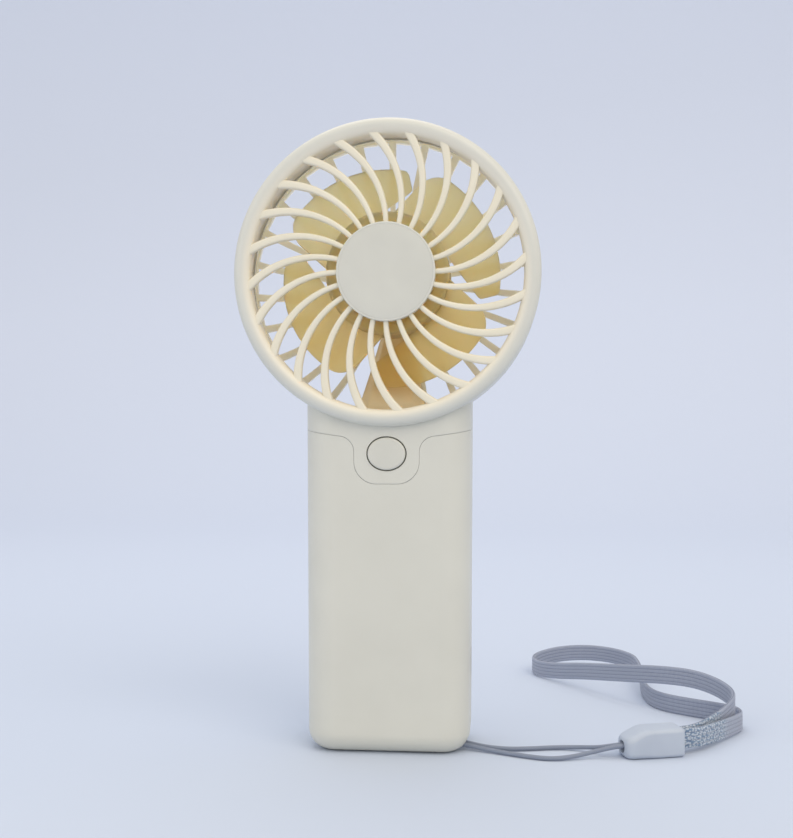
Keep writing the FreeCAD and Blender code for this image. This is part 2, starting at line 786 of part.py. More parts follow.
def lanyardNest():
    """Walls inside the corner that close the lanyard slot off from the electronics."""
    wall = size("nest_wall")
    floor = size("slot_floor")
    inside = size("base_width") / 2 - size("slot_depth") - wall
    front = -size("slot_forward") - size("slot_width") / 2 - wall
    nest = Part.makeBox(size("slot_depth") + wall, size("slot_width") + 2 * wall,
                        floor / 2 + size("slot_height") + wall, Vector(inside, front, floor / 2))
    return solidOf("lanyard_nest", nest.common(doc.getObject("handle_form").Shape))


def handleFrontCover(shell, front_half):
    below = block("handle_region", "4 * base_width", "4 * handle_depth", "fan_height",
                  "-2 * base_width", "-2 * handle_depth", "0")
    region = cut("below_seam", below, neckRegion("seam_line", size("seam_gap")))
    panel = common("handle_panel", [shell, front_half, region])
    places = screwPlaces()[2:]
    whole = fuse("handle_whole", [panel, frontBosses("handle_bosses", places, region), lanyardNest()])
    drilled = cut("handle_drilled", whole, screwHoles("handle_holes", places))
    ported = cut("handle_ported", drilled, usbSlot("front_port"))
    slotted = cut("handle_slotted", ported, lanyardSlot())
    bar = doc.addObject("Part::Cylinder", "bar")
    bind(bar, Radius="lanyard_bar", Height="slot_height + slot_floor")
    bind(bar, Placement__Base__x="base_width / 2 - slot_depth + bar_place")
    bind(bar, Placement__Base__y="-slot_forward", Placement__Base__z="slot_floor / 2")
    return subPart(fuse("handle_form_done", [slotted, bar]), "handle_front_cover")


# ---- rear cover: handle back, ring band, vented dome, motor cup ------------------

def domeArc(inset):
    """Three (y, radius) points of the dome's section, inset from its outer skin."""
    edge = Vector(size("parting") + size("band_depth") - 0.4, size("ring_radius") - 0.7, 0)
    root = Vector(capFront() - 0.05, size("motor_radius") + size("cup_wall") - 0.8, 0)
    middle = (edge + root) * 0.5 + Vector(size("dome_bulge"), 0, 0)
    outer = [edge, middle, root]
    circle = Part.Arc(*outer).toShape().Curve
    centre = circle.Center
    return [centre + (point - centre).normalize() * (circle.Radius - inset) for point in outer]


def domeDepth(radius, inset):
    """How far back the dome's section lies at a distance from the fan axis."""
    circle = Part.Arc(*domeArc(inset)).toShape().Curve
    return circle.Center.x + math.sqrt(circle.Radius ** 2 - (radius - circle.Center.y) ** 2)


def capFront():
    """Front plane of the rear cap's disc, where the motor cup ends."""
    return size("rear_face") - size("rear_cap_thickness")


def domeSection(inner_inset):
    skin = domeArc(0)
    lining = domeArc(inner_inset)
    return [
        Part.Arc(*skin),
        Part.LineSegment(skin[2], lining[2]),
        Part.Arc(lining[2], lining[1], lining[0]),
        Part.LineSegment(lining[0], skin[0]),
    ]


def ventCorners(pitch):
    """One slot between two rear ribs: a leaning gap from the motor cup to the ring band."""
    inner = size("motor_radius") + size("cup_wall") + size("vent_inset")
    outer = size("ring_radius") - size("band_wall") - 0.2
    lean = math.radians(size("vent_sweep"))
    chains = {}
    for side in (-1, 1):
        chain = []
        for share in (0, 0.5, 1):
            radius = inner + share * (outer - inner)
            rib = size("rear_rib_root") + share * (size("rear_rib_tip") - size("rear_rib_root"))
            half = math.radians(pitch) / 2 - rib / 2 / radius
            angle = lean * (1 - share) + side * half
            chain.append(Vector(radius * math.cos(angle), radius * math.sin(angle), 0))
        chains[side] = chain
    return chains


def rearGrille():
    """Ring band and vented dome with its solid wire duct, all about the fan axis."""
    body = newBody("rear_grille")
    ring = size("ring_radius")
    inner = ring - size("band_wall")
    start = size("parting") + size("seam_gap")
    end = size("parting") + size("band_depth")
    revolved(body, "band", [(start, ring), (end, ring, size("band_round")), (end, inner), (start, inner)])
    dome_sketch = sketchOn(body, "YZ_Plane", "dome_profile", Vector(0, size("fan_height"), 0))
    bind(dome_sketch, AttachmentOffset__Base__y="fan_height")
    dome_sketch.addGeometry(domeSection(size("dome_skin")))
    feature(body, "Revolution", "dome", dome_sketch, ReferenceAxis=(dome_sketch, ["H_Axis"]), Angle=360)
    body.Tip = ventPattern(body)
    return body


def ventPattern(body):
    """Slots all the way round but for the duct, which hangs straight down."""
    pitch = (360 - 2 * size("duct_half")) / (size("vent_count") - 0.15)
    first = -90 + size("duct_half") + pitch * 0.425
    sketch = sketchOn(body, "XZ_Plane", "vent_profile", Vector(0, size("fan_height"), -size("rear_face") - 2))
    bind(sketch, AttachmentOffset__Base__y="fan_height")
    sketch.AttachmentOffset = Placement(sketch.AttachmentOffset.Base, Rotation(Vector(0, 0, 1), first))
    chains = ventCorners(pitch)
    sketch.addGeometry([
        Part.Arc(*chains[1]),
        Part.LineSegment(chains[1][2], chains[-1][2]),
        Part.Arc(*chains[-1]),
        Part.LineSegment(chains[-1][0], chains[1][0]),
    ])
    vent = feature(body, "Pocket", "vent", sketch, Reversed=True)
    bind(vent, Length="rear_face + 4 - parting")
    vents = body.newObject("PartDesign::PolarPattern", "vents")
    vents.Originals = [vent]
    vents.Axis = (sketch, ["N_Axis"])
    vents.Angle = pitch * (size("vent_count") - 1)
    bind(vents, Occurrences="vent_count")
    return vents


def ductPanel():
    """Solid sector of the dome over the wires, a little thicker than the ribs."""
    edges = []
    for edge in domeSection(size("dome_skin") + size("duct_extra")):
        shape = edge.toShape()
        ends = [edge.StartPoint, edge.EndPoint]
        if isinstance(edge, Part.LineSegment):
            edges.append(Part.makeLine(*[hanging(point) for point in ends]))
        else:
            middle = shape.valueAt((shape.FirstParameter + shape.LastParameter) / 2)
            edges.append(Part.Arc(hanging(ends[0]), hanging(middle), hanging(ends[1])).toShape())
    face = Part.Face(Part.Wire(Part.__sortEdges__(edges)))
    axis = Vector(0, 0, size("fan_height"))
    half = size("duct_half")
    face.rotate(axis, Vector(0, 1, 0), -half)
    return solidOf("duct_panel", face.revolve(axis, Vector(0, 1, 0), 2 * half))


def hanging(point):
    """A (y, radius) point of a section, straight down from the fan axis."""
    return Vector(0, point.x, size("fan_height") - point.y)


def motorCup():
    wall = tubeAlongY("cup_wall_part", "motor_radius + cup_wall", "motor_radius + can_fit",
                      "rear_face - rear_cap_thickness - cup_front", "cup_front")
    face = tubeAlongY("cup_face_part", "motor_radius + cup_wall", "bush_radius + cup_wall / 2", "cup_face",
                      "cup_front")
    return fuse("motor_cup", [wall, face])


def boardPlaces():
    """Board screw places (x, z), above and below the cell."""
    out = boardHalf() - size("board_screw_in")
    heights = [size("board_bottom") + size("board_screw_low"), boardTop() - size("board_screw_high")]
    return [(side * out, height) for height in heights for side in (-1, 1)]


def boardHalf():
    return bossOffset() - size("boss_radius") - size("board_boss_gap")


def boardTop():
    return ringBottom() - size("board_top_drop")


def boardRear():
    return size("parting") - size("usb_thickness") / 2


def wirePassages():
    """Notch in the cup wall, trough under the dome root and hole down into the handle."""
    wide = size("passage_width")
    cup_bottom = size("fan_height") - size("motor_radius")
    notch_depth = size("motor_room") + 1.0
    notch = Part.makeBox(wide, notch_depth - 0.3, size("cup_wall") + 2.1,
                         Vector(-wide / 2, capFront() - notch_depth, cup_bottom - size("cup_wall") - 1))
    trough = Part.makeBox(wide, 1.1 * wide, 6, Vector(-wide / 2, capFront() - 1.41 * wide, cup_bottom - 7.5))
    hole = Part.makeCylinder(size("passage_radius"), 2 * (size("saddle") + size("band_wall")) + 3,
                             Vector(0, 2 * size("passage_radius"), ringBottom() - 5), Vector(0, 0, 1))
    return solidOf("wire_passages", Part.makeCompound([notch, trough, hole]))


def motorScrewPlaces():
    return [(side * size("motor_screw_place"), size("fan_height")) for side in (-1, 1)]


def neckRounding():
    """Ring-shaped cutter that rounds the edge between the handle's back and the saddle."""
    radius = size("neck_round")
    rear = size("handle_depth") / 2
    saddle = size("ring_radius") - size("ring_wall") / 2
    centre = Vector(rear - radius, saddle + radius, 0)
    beyond = 5
    half = centre + Vector(1, -1, 0).normalize() * radius
    edges = [
        Part.Arc(Vector(centre.x, saddle, 0), half, Vector(rear, centre.y, 0)).toShape(),
        Part.makeLine(Vector(rear, centre.y, 0), Vector(rear + beyond, centre.y, 0)),
        Part.makeLine(Vector(rear + beyond, centre.y, 0), Vector(rear + beyond, saddle - beyond, 0)),
        Part.makeLine(Vector(rear + beyond, saddle - beyond, 0), Vector(centre.x, saddle - beyond, 0)),
        Part.makeLine(Vector(centre.x, saddle - beyond, 0), Vector(centre.x, saddle, 0)),
    ]
    face = Part.Face(Part.Wire(edges))
    ring = face.revolve(Vector(), Vector(1, 0, 0), 360)
    ring.rotate(Vector(), Vector(0, 0, 1), 90)
    ring.translate(Vector(0, 0, size("fan_height")))
    return solidOf("neck_rounding", ring)


def rearCover(shell, rear_half):
    back = cut("handle_back_rounded", common("handle_back", [shell, rear_half]), neckRounding())
    places = screwPlaces()
    front = size("parting") + size("seam_gap")
    rear = size("handle_depth") / 2 - size("shell_wall") / 2
    bosses = solidOf("rear_bosses", roundPegs(places, size("boss_radius"), front, rear))
    posts = solidOf("board_posts", roundPegs(boardPlaces(), size("post_radius"), boardRear(), rear))
    whole = fuse("rear_whole", [back, rearGrille(), ductPanel(), motorCup(), bosses, posts])
    drilled = cut("rear_drilled", whole, screwHoles("rear_holes", places))
    radius = size("screw_radius") + size("screw_fit")
    pilot_end = boardFront() + size("board_screw_length") + size("screw_spare")
    pilot = roundPegs(boardPlaces(), radius, boardFront(), pilot_end)
    motor_holes = roundPegs(motorScrewPlaces(), radius, size("cup_front") - 1, motorFront() + 1)
    through = solidOf("rear_pilots", Part.makeCompound([pilot, motor_holes]))
    pierced = cut("rear_pierced", cut("rear_piloted", drilled, through), wirePassages())
    return subPart(cut("rear_ported", pierced, usbSlot("rear_port")), "rear_cover")


def rearCap():
    """Round cap that closes the motor cup from behind, with a short spigot."""
    disc = rodAlongY("cap_disc", "motor_radius + cup_wall + rear_cap_lip", "rear_cap_thickness",
                     y="rear_face - rear_cap_thickness", z="fan_height")
    spigot = tubeAlongY("cap_spigot", "motor_radius - can_fit", "motor_radius - can_fit - 1", "spigot_depth + 0.1",
                        "rear_face - rear_cap_thickness - spigot_depth")
    return subPart(fuse("rear_cap_form", [disc, spigot]), "rear_cap")


# ---- motor ----------------------------------------------------------------------

def motorFront():
    return size("cup_front") + size("cup_face")


def motorLength():
    """The can fills its cup but for the end cap and the room where the wires turn."""
    return capFront() - size("motor_room") - size("end_cap_thickness") - motorFront()


def motorRear():
    return motorFront() + motorLength()


def motorCan():
    front = motorFront()
    height = size("fan_height")
    radius = size("motor_radius")
    wall = size("motor_wall")
    outer = Part.makeCylinder(radius, motorLength(), Vector(0, front, height), Vector(0, 1, 0))
    hollow = Part.makeCylinder(radius - wall, motorLength(), Vector(0, front + wall, height), Vector(0, 1, 0))
    nose = Part.makeCylinder(size("bush_radius") + size("press_gap"), 2 * wall + 1,
                             Vector(0, front - 1, height), Vector(0, 1, 0))
    threads = roundPegs(motorScrewPlaces(), size("screw_radius") + size("screw_fit"), front - 1, front + wall + 1)
    return subPart(solidOf("can", outer.cut(hollow).cut(nose).cut(threads)), "motor_can")


def motorEndCap():
    rear = motorRear()
    height = size("fan_height")
    plug_depth = size("plug_depth")
    disc = Part.makeCylinder(size("motor_radius") - size("can_fit"), size("end_cap_thickness"),
                             Vector(0, rear, height), Vector(0, 1, 0))
    plug = Part.makeCylinder(size("motor_radius") - size("motor_wall") - size("can_fit") / 2, plug_depth,
                             Vector(0, rear - plug_depth, height), Vector(0, 1, 0))
    bore = Part.makeCylinder(size("bush_radius") + size("press_gap"), 4 * plug_depth + size("end_cap_thickness"),
                             Vector(0, rear - 2 * plug_depth, height), Vector(0, 1, 0))
    return subPart(solidOf("end_cap", disc.fuse(plug).cut(bore).removeSplitter()), "motor_end_cap")


def bush(label, front, length):
    return subPart(tubeAlongY(label + "_form", "bush_radius", "shaft_radius + running_gap", str(length),
                              str(front)), label)


def magnets():
    """Two arc magnets against the inside of the can."""
    front = motorFront() + size("motor_wall") + size("magnet_inset")
    length = motorRear() - size("plug_depth") - 0.5 - front
    outer = size("motor_radius") - size("motor_wall") - size("can_fit") / 2
    inner = size("armature_radius") + size("air_gap")
    angle = size("magnet_angle")
    arcs = []
    for start in (90 - angle / 2, 270 - angle / 2):
        ring = Part.makeCylinder(outer, length, Vector(0, front, size("fan_height")), Vector(0, 1, 0), angle)
        bore = Part.makeCylinder(inner, length, Vector(0, front, size("fan_height")), Vector(0, 1, 0))
        arc = ring.cut(bore)
        arc.rotate(Vector(0, front, size("fan_height")), Vector(0, 1, 0), start)
        arcs.append(arc)
    return subPart(solidOf("magnet_arcs", Part.makeCompound(arcs)), "motor_magnets")


def coreFront():
    return motorFront() + size("motor_wall") + size("core_inset")


def coreLength():
    return commutatorFront() - coreFront()


def armatureCore():
    """Three-pole laminated core on the shaft."""
    length = coreLength()
    radius = size("armature_radius")
    hub = size("core_hub")
    width = size("pole_width")
    shoe_inside = radius - size("shoe_depth")
    angle = size("shoe_angle")
    core = Part.makeCylinder(hub, length, Vector(), Vector(0, 1, 0))
    for pole in range(3):
        stem = Part.makeBox(width, length, shoe_inside - hub + 1, Vector(-width / 2, 0, hub - 0.5))
        shoe = Part.makeCylinder(radius, length, Vector(), Vector(0, 1, 0), angle)
        shoe = shoe.cut(Part.makeCylinder(shoe_inside, length, Vector(), Vector(0, 1, 0)))
        shoe.rotate(Vector(), Vector(0, 1, 0), -90 - angle / 2)
        arm = stem.fuse(shoe)
        arm.rotate(Vector(), Vector(0, 1, 0), 120 * pole)
        core = core.fuse(arm)
    core = core.cut(Part.makeCylinder(size("shaft_radius") + size("press_gap"), length, Vector(), Vector(0, 1, 0)))
    core.translate(Vector(0, coreFront(), size("fan_height")))
    return subPart(solidOf("core", core.removeSplitter()), "armature_core")


def armatureCoils():
    """One wire coil around each pole, as a closed loop of rectangular section."""
    gap = size("coil_gap")
    thickness = size("coil_thickness")
    inside = size("core_hub") + size("coil_clear")
    height = size("armature_radius") - size("shoe_depth") - size("coil_clear") - inside
    width = size("pole_width") + 2 * gap
    length = coreLength() + 2 * gap
    coils = []
    for pole in range(3):
        loop = Part.makeBox(width + 2 * thickness, length + 2 * thickness, height,
                            Vector(-width / 2 - thickness, -gap - thickness, inside))
        coil = loop.cut(Part.makeBox(width, length, height, Vector(-width / 2, -gap, inside)))
        coil.rotate(Vector(), Vector(0, 1, 0), 120 * pole)
        coils.append(coil)
    coils = Part.makeCompound(coils)
    coils.translate(Vector(0, coreFront(), size("fan_height")))
    return subPart(solidOf("coils", coils), "armature_coils")


def commutator():
    form = tubeAlongY("commutator_form", "commutator_radius", "shaft_radius + press_gap", "commutator_length",
                      str(commutatorFront()))
    return subPart(form, "commutator")


def commutatorFront():
    """The commutator turns just in front of the end cap's plug."""
    return motorRear() - size("plug_depth") - size("commutator_length") - 0.1


def brushes():
    """Two springy copper leaves that lean on the commutator, fixed in the end cap."""
    rear = motorRear() - size("plug_depth")
    thickness = size("leaf_thickness")
    tall = size("leaf_height")
    middle = size("commutator_radius") + size("leaf_gap") + thickness / 2
    leaves = []
    for side in (-1, 1):
        corner = Vector(side * middle - thickness / 2, rear - size("leaf_length"), size("fan_height") - tall / 2)
        leaves.append(Part.makeBox(thickness, size("leaf_length"), tall, corner))
    return subPart(solidOf("leaves", Part.makeCompound(leaves)), "motor_brushes")


def motorShaft():
    front = shaftFront()
    rear = motorRear() + size("end_cap_thickness") + size("shaft_tail")
    shaft = rodAlongY("shaft_form", "shaft_radius", str(rear - front), y=str(front), z="fan_height")
    return subPart(shaft, "motor_shaft")


def shaftFront():
    return hubCupFront() + size("shaft_inset")


def hubCupFront():
    """Front plane of the impeller's hub, just behind the grille's hub."""
    return size("hub_depth") + size("grille_gap") - size("front_face")


# ---- impeller -------------------------------------------------------------------

def bladeHeight(share):
    """Front to back place of a blade at a share of its span, clockwise edge first."""
    return size("blade_rear") - share * size("blade_pitch")


def polar(radius, angle):
    turn = math.radians(angle)
    return Vector(radius * math.cos(turn), radius * math.sin(turn), 0)


def bladeSheet():
    """A helical sheet through equally turned radial sections, cut to the blade's outline."""
    thickness = size("blade_thickness")
    root = size("hub_cup_radius") - size("hub_cup_wall") / 2
    tip = size("blade_tip") + 1
    whole_span = size("blade_span") + size("blade_front_lean")
    beyond = size("blade_blunt_turn") + 3
    steps = 9
    sections = []
    for step in range(steps + 1):
        angle = -beyond + (whole_span + 2 * beyond) * step / steps
        y = bladeHeight(angle / whole_span)
        corners = []
        for radius, depth in ((root, y), (tip, y), (tip, y + thickness), (root, y + thickness)):
            spot = polar(radius, angle)
            corners.append(Vector(spot.x, depth, spot.y))
        corners.append(corners[0])
        sections.append(Part.makePolygon(corners))
    return Part.makeLoft(sections, True, False)


def bladeOutline():
    """Planform prism: round tip, leaning edges, the blunt clockwise corner and the soft one at the front edge."""
    tip = size("blade_tip")
    root = size("hub_cup_radius") - size("hub_cup_wall") / 2
    span = size("blade_span")
    root_start = size("blade_lean")
    root_end = span + size("blade_front_lean")
    start_tip = polar(tip, 0)
    shoulder = polar(tip - size("blade_blunt"), -size("blade_blunt_turn"))
    start_root = polar(root, root_start)
    end_root = polar(root, root_end)
    end_tip = polar(tip, span)
    edges = [
        Part.makeLine(start_root, shoulder),
        Part.makeLine(shoulder, start_tip),
        Part.Arc(start_tip, polar(tip, span / 2), end_tip).toShape(),
        Part.makeLine(end_tip, end_root),
        Part.Arc(end_root, polar(root, (root_start + root_end) / 2), start_root).toShape(),
    ]
    flat = Part.Face(Part.Wire(edges))
    flat.rotate(Vector(), Vector(1, 0, 0), 90)
    flat.translate(Vector(0, -20, 0))
    prism = flat.extrude(Vector(0, 40, 0))

    def uprightAt(spots):
        return [edge for edge in prism.Edges if edge.BoundBox.YLength > 30
                and min((Vector(edge.CenterOfMass.x, edge.CenterOfMass.z, 0) - spot).Length for spot in spots) < 0.5]
    prism = prism.makeFillet(size("blade_blunt_round"), uprightAt([shoulder, start_tip]))
    return prism.makeFillet(size("blade_corner"), uprightAt([end_tip]))


def hubCup():
    """Hub of the impeller: a cup open to the rear, with a bored boss and webs."""
    front = hubCupFront()
    outer = size("hub_cup_radius")
    wall = size("hub_cup_wall")
    face = size("hub_cup_face")
    length = size("cup_front") - size("cup_gap") - front
    cup = Part.makeCylinder(outer, length, Vector(0, front, 0), Vector(0, 1, 0))
    rim = [edge for edge in cup.Edges if abs(edge.CenterOfMass.y - front) < 0.01 and edge.Length > outer]
    cup = cup.makeFillet(size("hub_cup_round"), rim)
    cup = cup.cut(Part.makeCylinder(outer - wall, length, Vector(0, front + face, 0), Vector(0, 1, 0)))
    inside = front + face / 2
    boss_length = front + length - size("hub_boss_short") - inside
    cup = cup.fuse(Part.makeCylinder(size("hub_boss"), boss_length, Vector(0, inside, 0), Vector(0, 1, 0)))
    thickness = size("web_thickness")
    count = int(size("web_count"))
    web_start = size("hub_boss") - 0.6
    for web in range(count):
        plate = Part.makeBox(outer - wall / 2 - web_start, front + length - size("web_short") - inside, thickness,
                             Vector(web_start, inside, -thickness / 2))
        plate.rotate(Vector(), Vector(0, 1, 0), 360 * (web + 0.5) / count)
        cup = cup.fuse(plate)
    bore = Part.makeCylinder(size("shaft_radius") + size("press_gap"), length,
                             Vector(0, shaftFront() - 0.1, 0), Vector(0, 1, 0))
    return cup.cut(bore).removeSplitter()


def impeller():
    blade = bladeSheet().common(bladeOutline())
    count = int(size("blade_count"))
    blades = []
    for number in range(count):
        turned = blade.copy()
        turned.rotate(Vector(), Vector(0, 1, 0), -(size("blade_place") + 360 * number / count))
        blades.append(turned)
    whole = hubCup().multiFuse(blades).removeSplitter()
    whole.translate(Vector(0, 0, size("fan_height")))
    return subPart(solidOf("impeller_form", whole), "impeller")


# ---- button and electronics -----------------------------------------------------

def powerButton():
    """Oval cap, flange behind the tab and a stem to the switch."""
    wide = size("button_width") / 2
    tall = size("button_height") / 2
    face = -size("handle_depth") / 2 - size("button_proud")
    inside = size("shell_wall") + size("flange_gap") - size("handle_depth") / 2
    flange_size = size("button_flange")
    cap = ovalPrism(wide, tall, face, inside + flange_size / 2 - face)
    rim = [edge for edge in cap.Edges if edge.BoundBox.YMax < face + 0.01]
    cap = cap.makeFillet(size("button_round"), rim)
    flange = ovalPrism(wide + flange_size, tall + flange_size, inside, flange_size)
    stem = Part.makeCylinder(size("button_stem"), switchFront() - size("touch_gap") - inside,
                             Vector(0, inside, buttonLevel()), Vector(0, 1, 0))
    return subPart(solidOf("button_form", cap.fuse([flange, stem]).removeSplitter()), "power_button")


def boardFront():
    return boardRear() - size("board_thickness")


def switchFront():
    """Front of the plunger, which stands proud of the switch body."""
    return boardFront() - size("switch_depth") - size("plunger_proud")


def tactSwitch():
    side = size("switch_side")
    face = boardFront() - size("switch_depth")
    level = buttonLevel()
    depth = size("plunger_depth")
    body = Part.makeBox(side, size("switch_depth"), side, Vector(-side / 2, face, level - side / 2))
    well = Part.makeCylinder(size("plunger_radius") + size("touch_gap"), depth + size("plunger_room"),
                             Vector(0, face, level), Vector(0, 1, 0))
    subPart(solidOf("switch_form", body.cut(well)), "tact_switch_body")
    plunger = rodAlongY("plunger_form", "plunger_radius", "plunger_proud + plunger_depth",
                        y=str(switchFront()), z="fan_height - ring_radius - button_drop")
    return subPart(plunger, "tact_switch_plunger")


def usbSocket():
    """Metal shell of the charging socket, open to the side, and the tongue in it."""
    half = size("usb_thickness") / 2
    tall = size("usb_height")
    length = size("usb_length")
    level = size("usb_level")
    skin = size("usb_skin")
    back = size("usb_back")
    mouth = sideAt(level) - size("usb_recess")
    corner = Vector(mouth - length, size("parting") - half, level - tall / 2)
    shell = Part.makeBox(length, 2 * half, tall, corner)
    shell = shell.makeFillet(half - 0.1, [edge for edge in shell.Edges if edge.BoundBox.XLength > length / 2])
    hollow = Part.makeBox(length, 2 * (half - skin), tall - 2 * skin, corner + Vector(back, skin, skin))
    long_edges = [edge for edge in hollow.Edges if edge.BoundBox.XLength > length / 2]
    hollow = hollow.makeFillet(half - skin - 0.1, long_edges)
    subPart(solidOf("socket_form", shell.cut(hollow)), "usb_socket")
    margin = size("tongue_margin")
    thickness = size("tongue_thickness")
    tongue = Part.makeBox(size("tongue_length"), thickness, tall - 2 * margin,
                          Vector(corner.x + back, size("parting") - thickness / 2, corner.z + margin))
    return subPart(solidOf("tongue_form", tongue), "usb_tongue")


def mainBoard():
    """Circuit board with an ear for the charging socket and its screw holes."""
    front = boardFront()
    thickness = size("board_thickness")
    half = boardHalf()
    level = size("usb_level")
    plate = Part.makeBox(2 * half, thickness, boardTop() - size("board_bottom"),
                         Vector(-half, front, size("board_bottom")))
    tall = 1.35 * size("usb_height")
    ear = Part.makeBox(sideAt(level) - size("shell_wall") - size("board_side_gap"), thickness, tall,
                       Vector(0, front, level - tall / 2))
    holes = roundPegs(boardPlaces(), size("screw_radius") + size("screw_fit"), front - 1, boardRear() + 1)
    return subPart(solidOf("board_form", plate.fuse(ear).cut(holes).removeSplitter()), "main_board")


def chips():
    """Charge controller beside the socket and motor driver near the top, behind the board."""
    rear = boardRear()
    thickness = size("chip_thickness")
    charger = Part.makeBox(size("charger_width"), thickness, size("charger_height"),
                           Vector(size("charger_place"), rear, size("usb_level") - size("charger_height") / 2))
    side = size("driver_side")
    driver = Part.makeBox(side, thickness, side,
                          Vector(-size("driver_place"), rear, cellTop() - size("driver_drop") - side))
    return subPart(solidOf("chip_forms", Part.makeCompound([charger, driver])), "board_chips")


def inductor():
    """Choke on the front of the board, above the charge controller."""
    side = size("choke_side")
    tall = size("choke_thickness")
    choke = Part.makeBox(side, tall, side,
                         Vector(-side, boardFront() - tall, size("usb_level") + size("choke_rise")))
    choke = choke.makeFillet(side / 5, [edge for edge in choke.Edges if edge.BoundBox.YLength > tall / 2])
    return subPart(solidOf("choke_form", choke), "board_inductor")


def cellBottom():
    return size("usb_level") + size("usb_height") / 2 + size("cell_over_socket")


def cellTop():
    return boardPlaces()[-1][1] - size("post_radius") - size("cell_under_posts")


def cellRear():
    return size("handle_depth") / 2 - size("shell_wall") - size("foam_thickness")


def batteryCell():
    """Pouch cell that fills the handle behind the board, on its foam pad."""
    half = size("base_width") / 2 - size("shell_wall") - size("cell_side")
    front = boardRear() + size("cell_to_board")
    height = cellTop() - cellBottom()
    cell = Part.makeBox(2 * half, cellRear() - front, height, Vector(-half, front, cellBottom()))
    sides = [edge for edge in cell.Edges if edge.BoundBox.ZLength > height / 2]
    subPart(solidOf("cell_form", cell.makeFillet(size("cell_round"), sides)), "battery_cell")
    margin = size("foam_margin")
    foam = Part.makeBox(2 * (half - margin), size("foam_thickness"), height - 2 * margin,
                        Vector(margin - half, cellRear(), cellBottom() + margin))
    return subPart(solidOf("foam_form", foam), "battery_foam")


# ---- wires and strap ------------------------------------------------------------

def wire(label, route):
    radius = size("wire_radius")
    tube, path, radii = roundTube(route, radius)
    report(label, tube, path, math.pi * radius * radius, radii)
    return subPart(solidOf(label + "_run", tube), label)


def motorWires():
    """From the motor's end cap, through the cup notch, down inside the duct and to the board."""
    height = size("fan_height")
    rear = motorRear() + size("end_cap_thickness") + size("wire_radius") + 0.05
    cup = size("motor_radius") + size("cup_wall")
    low = ringBottom()
    span = size("ring_radius") - cup
    duct = size("dome_skin") + size("duct_extra") + 3 * size("wire_radius")
    for side, label in ((-1, "motor_wire_red"), (1, "motor_wire_black")):
        x = side * 2 * size("wire_radius")
        route = [
            (x * 2.8, rear, height - 0.43 * cup),
            (x * 1.5, rear + 0.1, height - 0.72 * cup),
            (x, rear - 0.1, height - 0.98 * cup),
            (x, rear - 2.7, height - cup - 0.13 * span),
        ]
        for share in (0.32, 0.52, 0.7):
            radius = cup + share * span
            route.append((x, domeDepth(radius, duct) - share, height - radius))
        route += [
            (x * 0.6, 2.7, low + 3.8),
            (x * 0.6, 2.5, low - 1.6),
            (x, 1.6, low - 4.4),
            (x * 1.6, boardRear() + 1.4, low - 5.6),
            (x * 1.6, boardRear(), low - 5.6),
        ]
        wire(label, route)


def batteryWires():
    """From the top of the cell over to the back of the board."""
    top = cellTop()
    middle = (cellRear() + boardRear() + size("cell_to_board")) / 2
    for x, label in ((3.2, "battery_wire_red"), (4.8, "battery_wire_black")):
        wire(label, [
            (x, middle, top),
            (x, middle, top + 2.2),
            (x, middle - 2.4, top + 3.4),
            (x, boardRear() + 2.0, top + 3.0),
            (x, boardRear(), top + 3.0),
        ])


def strapString():
    radius = size("string_radius")
    tube, path, radii = roundTube(STRING_ROUTE, radius)
    report("strap_string", tube, path, math.pi * radius * radius, radii)
    return subPart(solidOf("string_run", tube), "strap_string")


def strapBand():
    """Flat band on its edge, swept along its route."""
    path, radii = roundBend(BAND_ROUTE)
    half_width = size("band_width") / 2
    half_thickness = size("band_thickness") / 2
    start = Vector(*BAND_ROUTE[0])
    ahead = (Vector(*BAND_ROUTE[1]) - start).normalize()
    across = ahead.cross(Vector(0, 0, 1)).normalize()
    up = across.cross(ahead)
    corners = [
        start + across * half_thickness * a + up * half_width * b
        for a, b in ((-1, -1), (1, -1), (1, 1), (-1, 1), (-1, -1))
    ]
    sweep = Part.BRepOffsetAPI.MakePipeShell(path)
    sweep.setBiNormalMode(Vector(0, 0, 1))
    sweep.add(Part.makePolygon(corners))
    sweep.build()
    sweep.makeSolid()
    band = sweep.shape()
    report("strap_band", band, path, size("band_width") * size("band_thickness"), radii)
    return subPart(solidOf("band_run", band), "strap_band")


def strapClasp():
    """Tapered clasp between string and band, bored at one end and slotted at the other."""
    half = size("clasp_length") / 2
    width = size("clasp_width")
    height = size("clasp_height")
    level = size("clasp_level")
    depth = size("clasp_slot_depth")
    edge = 0.6
    corners = [
        (-half, 0.0, edge),
        (half, 0.0, edge),
        (half, height, edge),
        (5.5 - half, height, 4.0),
        (-half, height - 2.2, 1.6),
    ]
    clasp = prismAlongY(corners, -width / 2, width)
    hole = Part.makeCylinder(size("clasp_hole"), depth + 1, Vector(-half - 1, 0, level), Vector(1, 0, 0))
    tall = size("band_width") + 2 * size("band_fit")
    slot = Part.makeBox(depth + 1, size("clasp_slot"), tall,
                        Vector(half - depth, -size("clasp_slot") / 2, size("band_level") - tall / 2))
    clasp = clasp.cut(hole).cut(slot)
    clasp.rotate(Vector(), Vector(0, 0, 1), CLASP_TURN)
    clasp.translate(Vector(*CLASP_PLACE, 0))
    return subPart(solidOf("clasp_form", clasp), "strap_clasp")


# ---- the whole object -----------------------------------------------------------

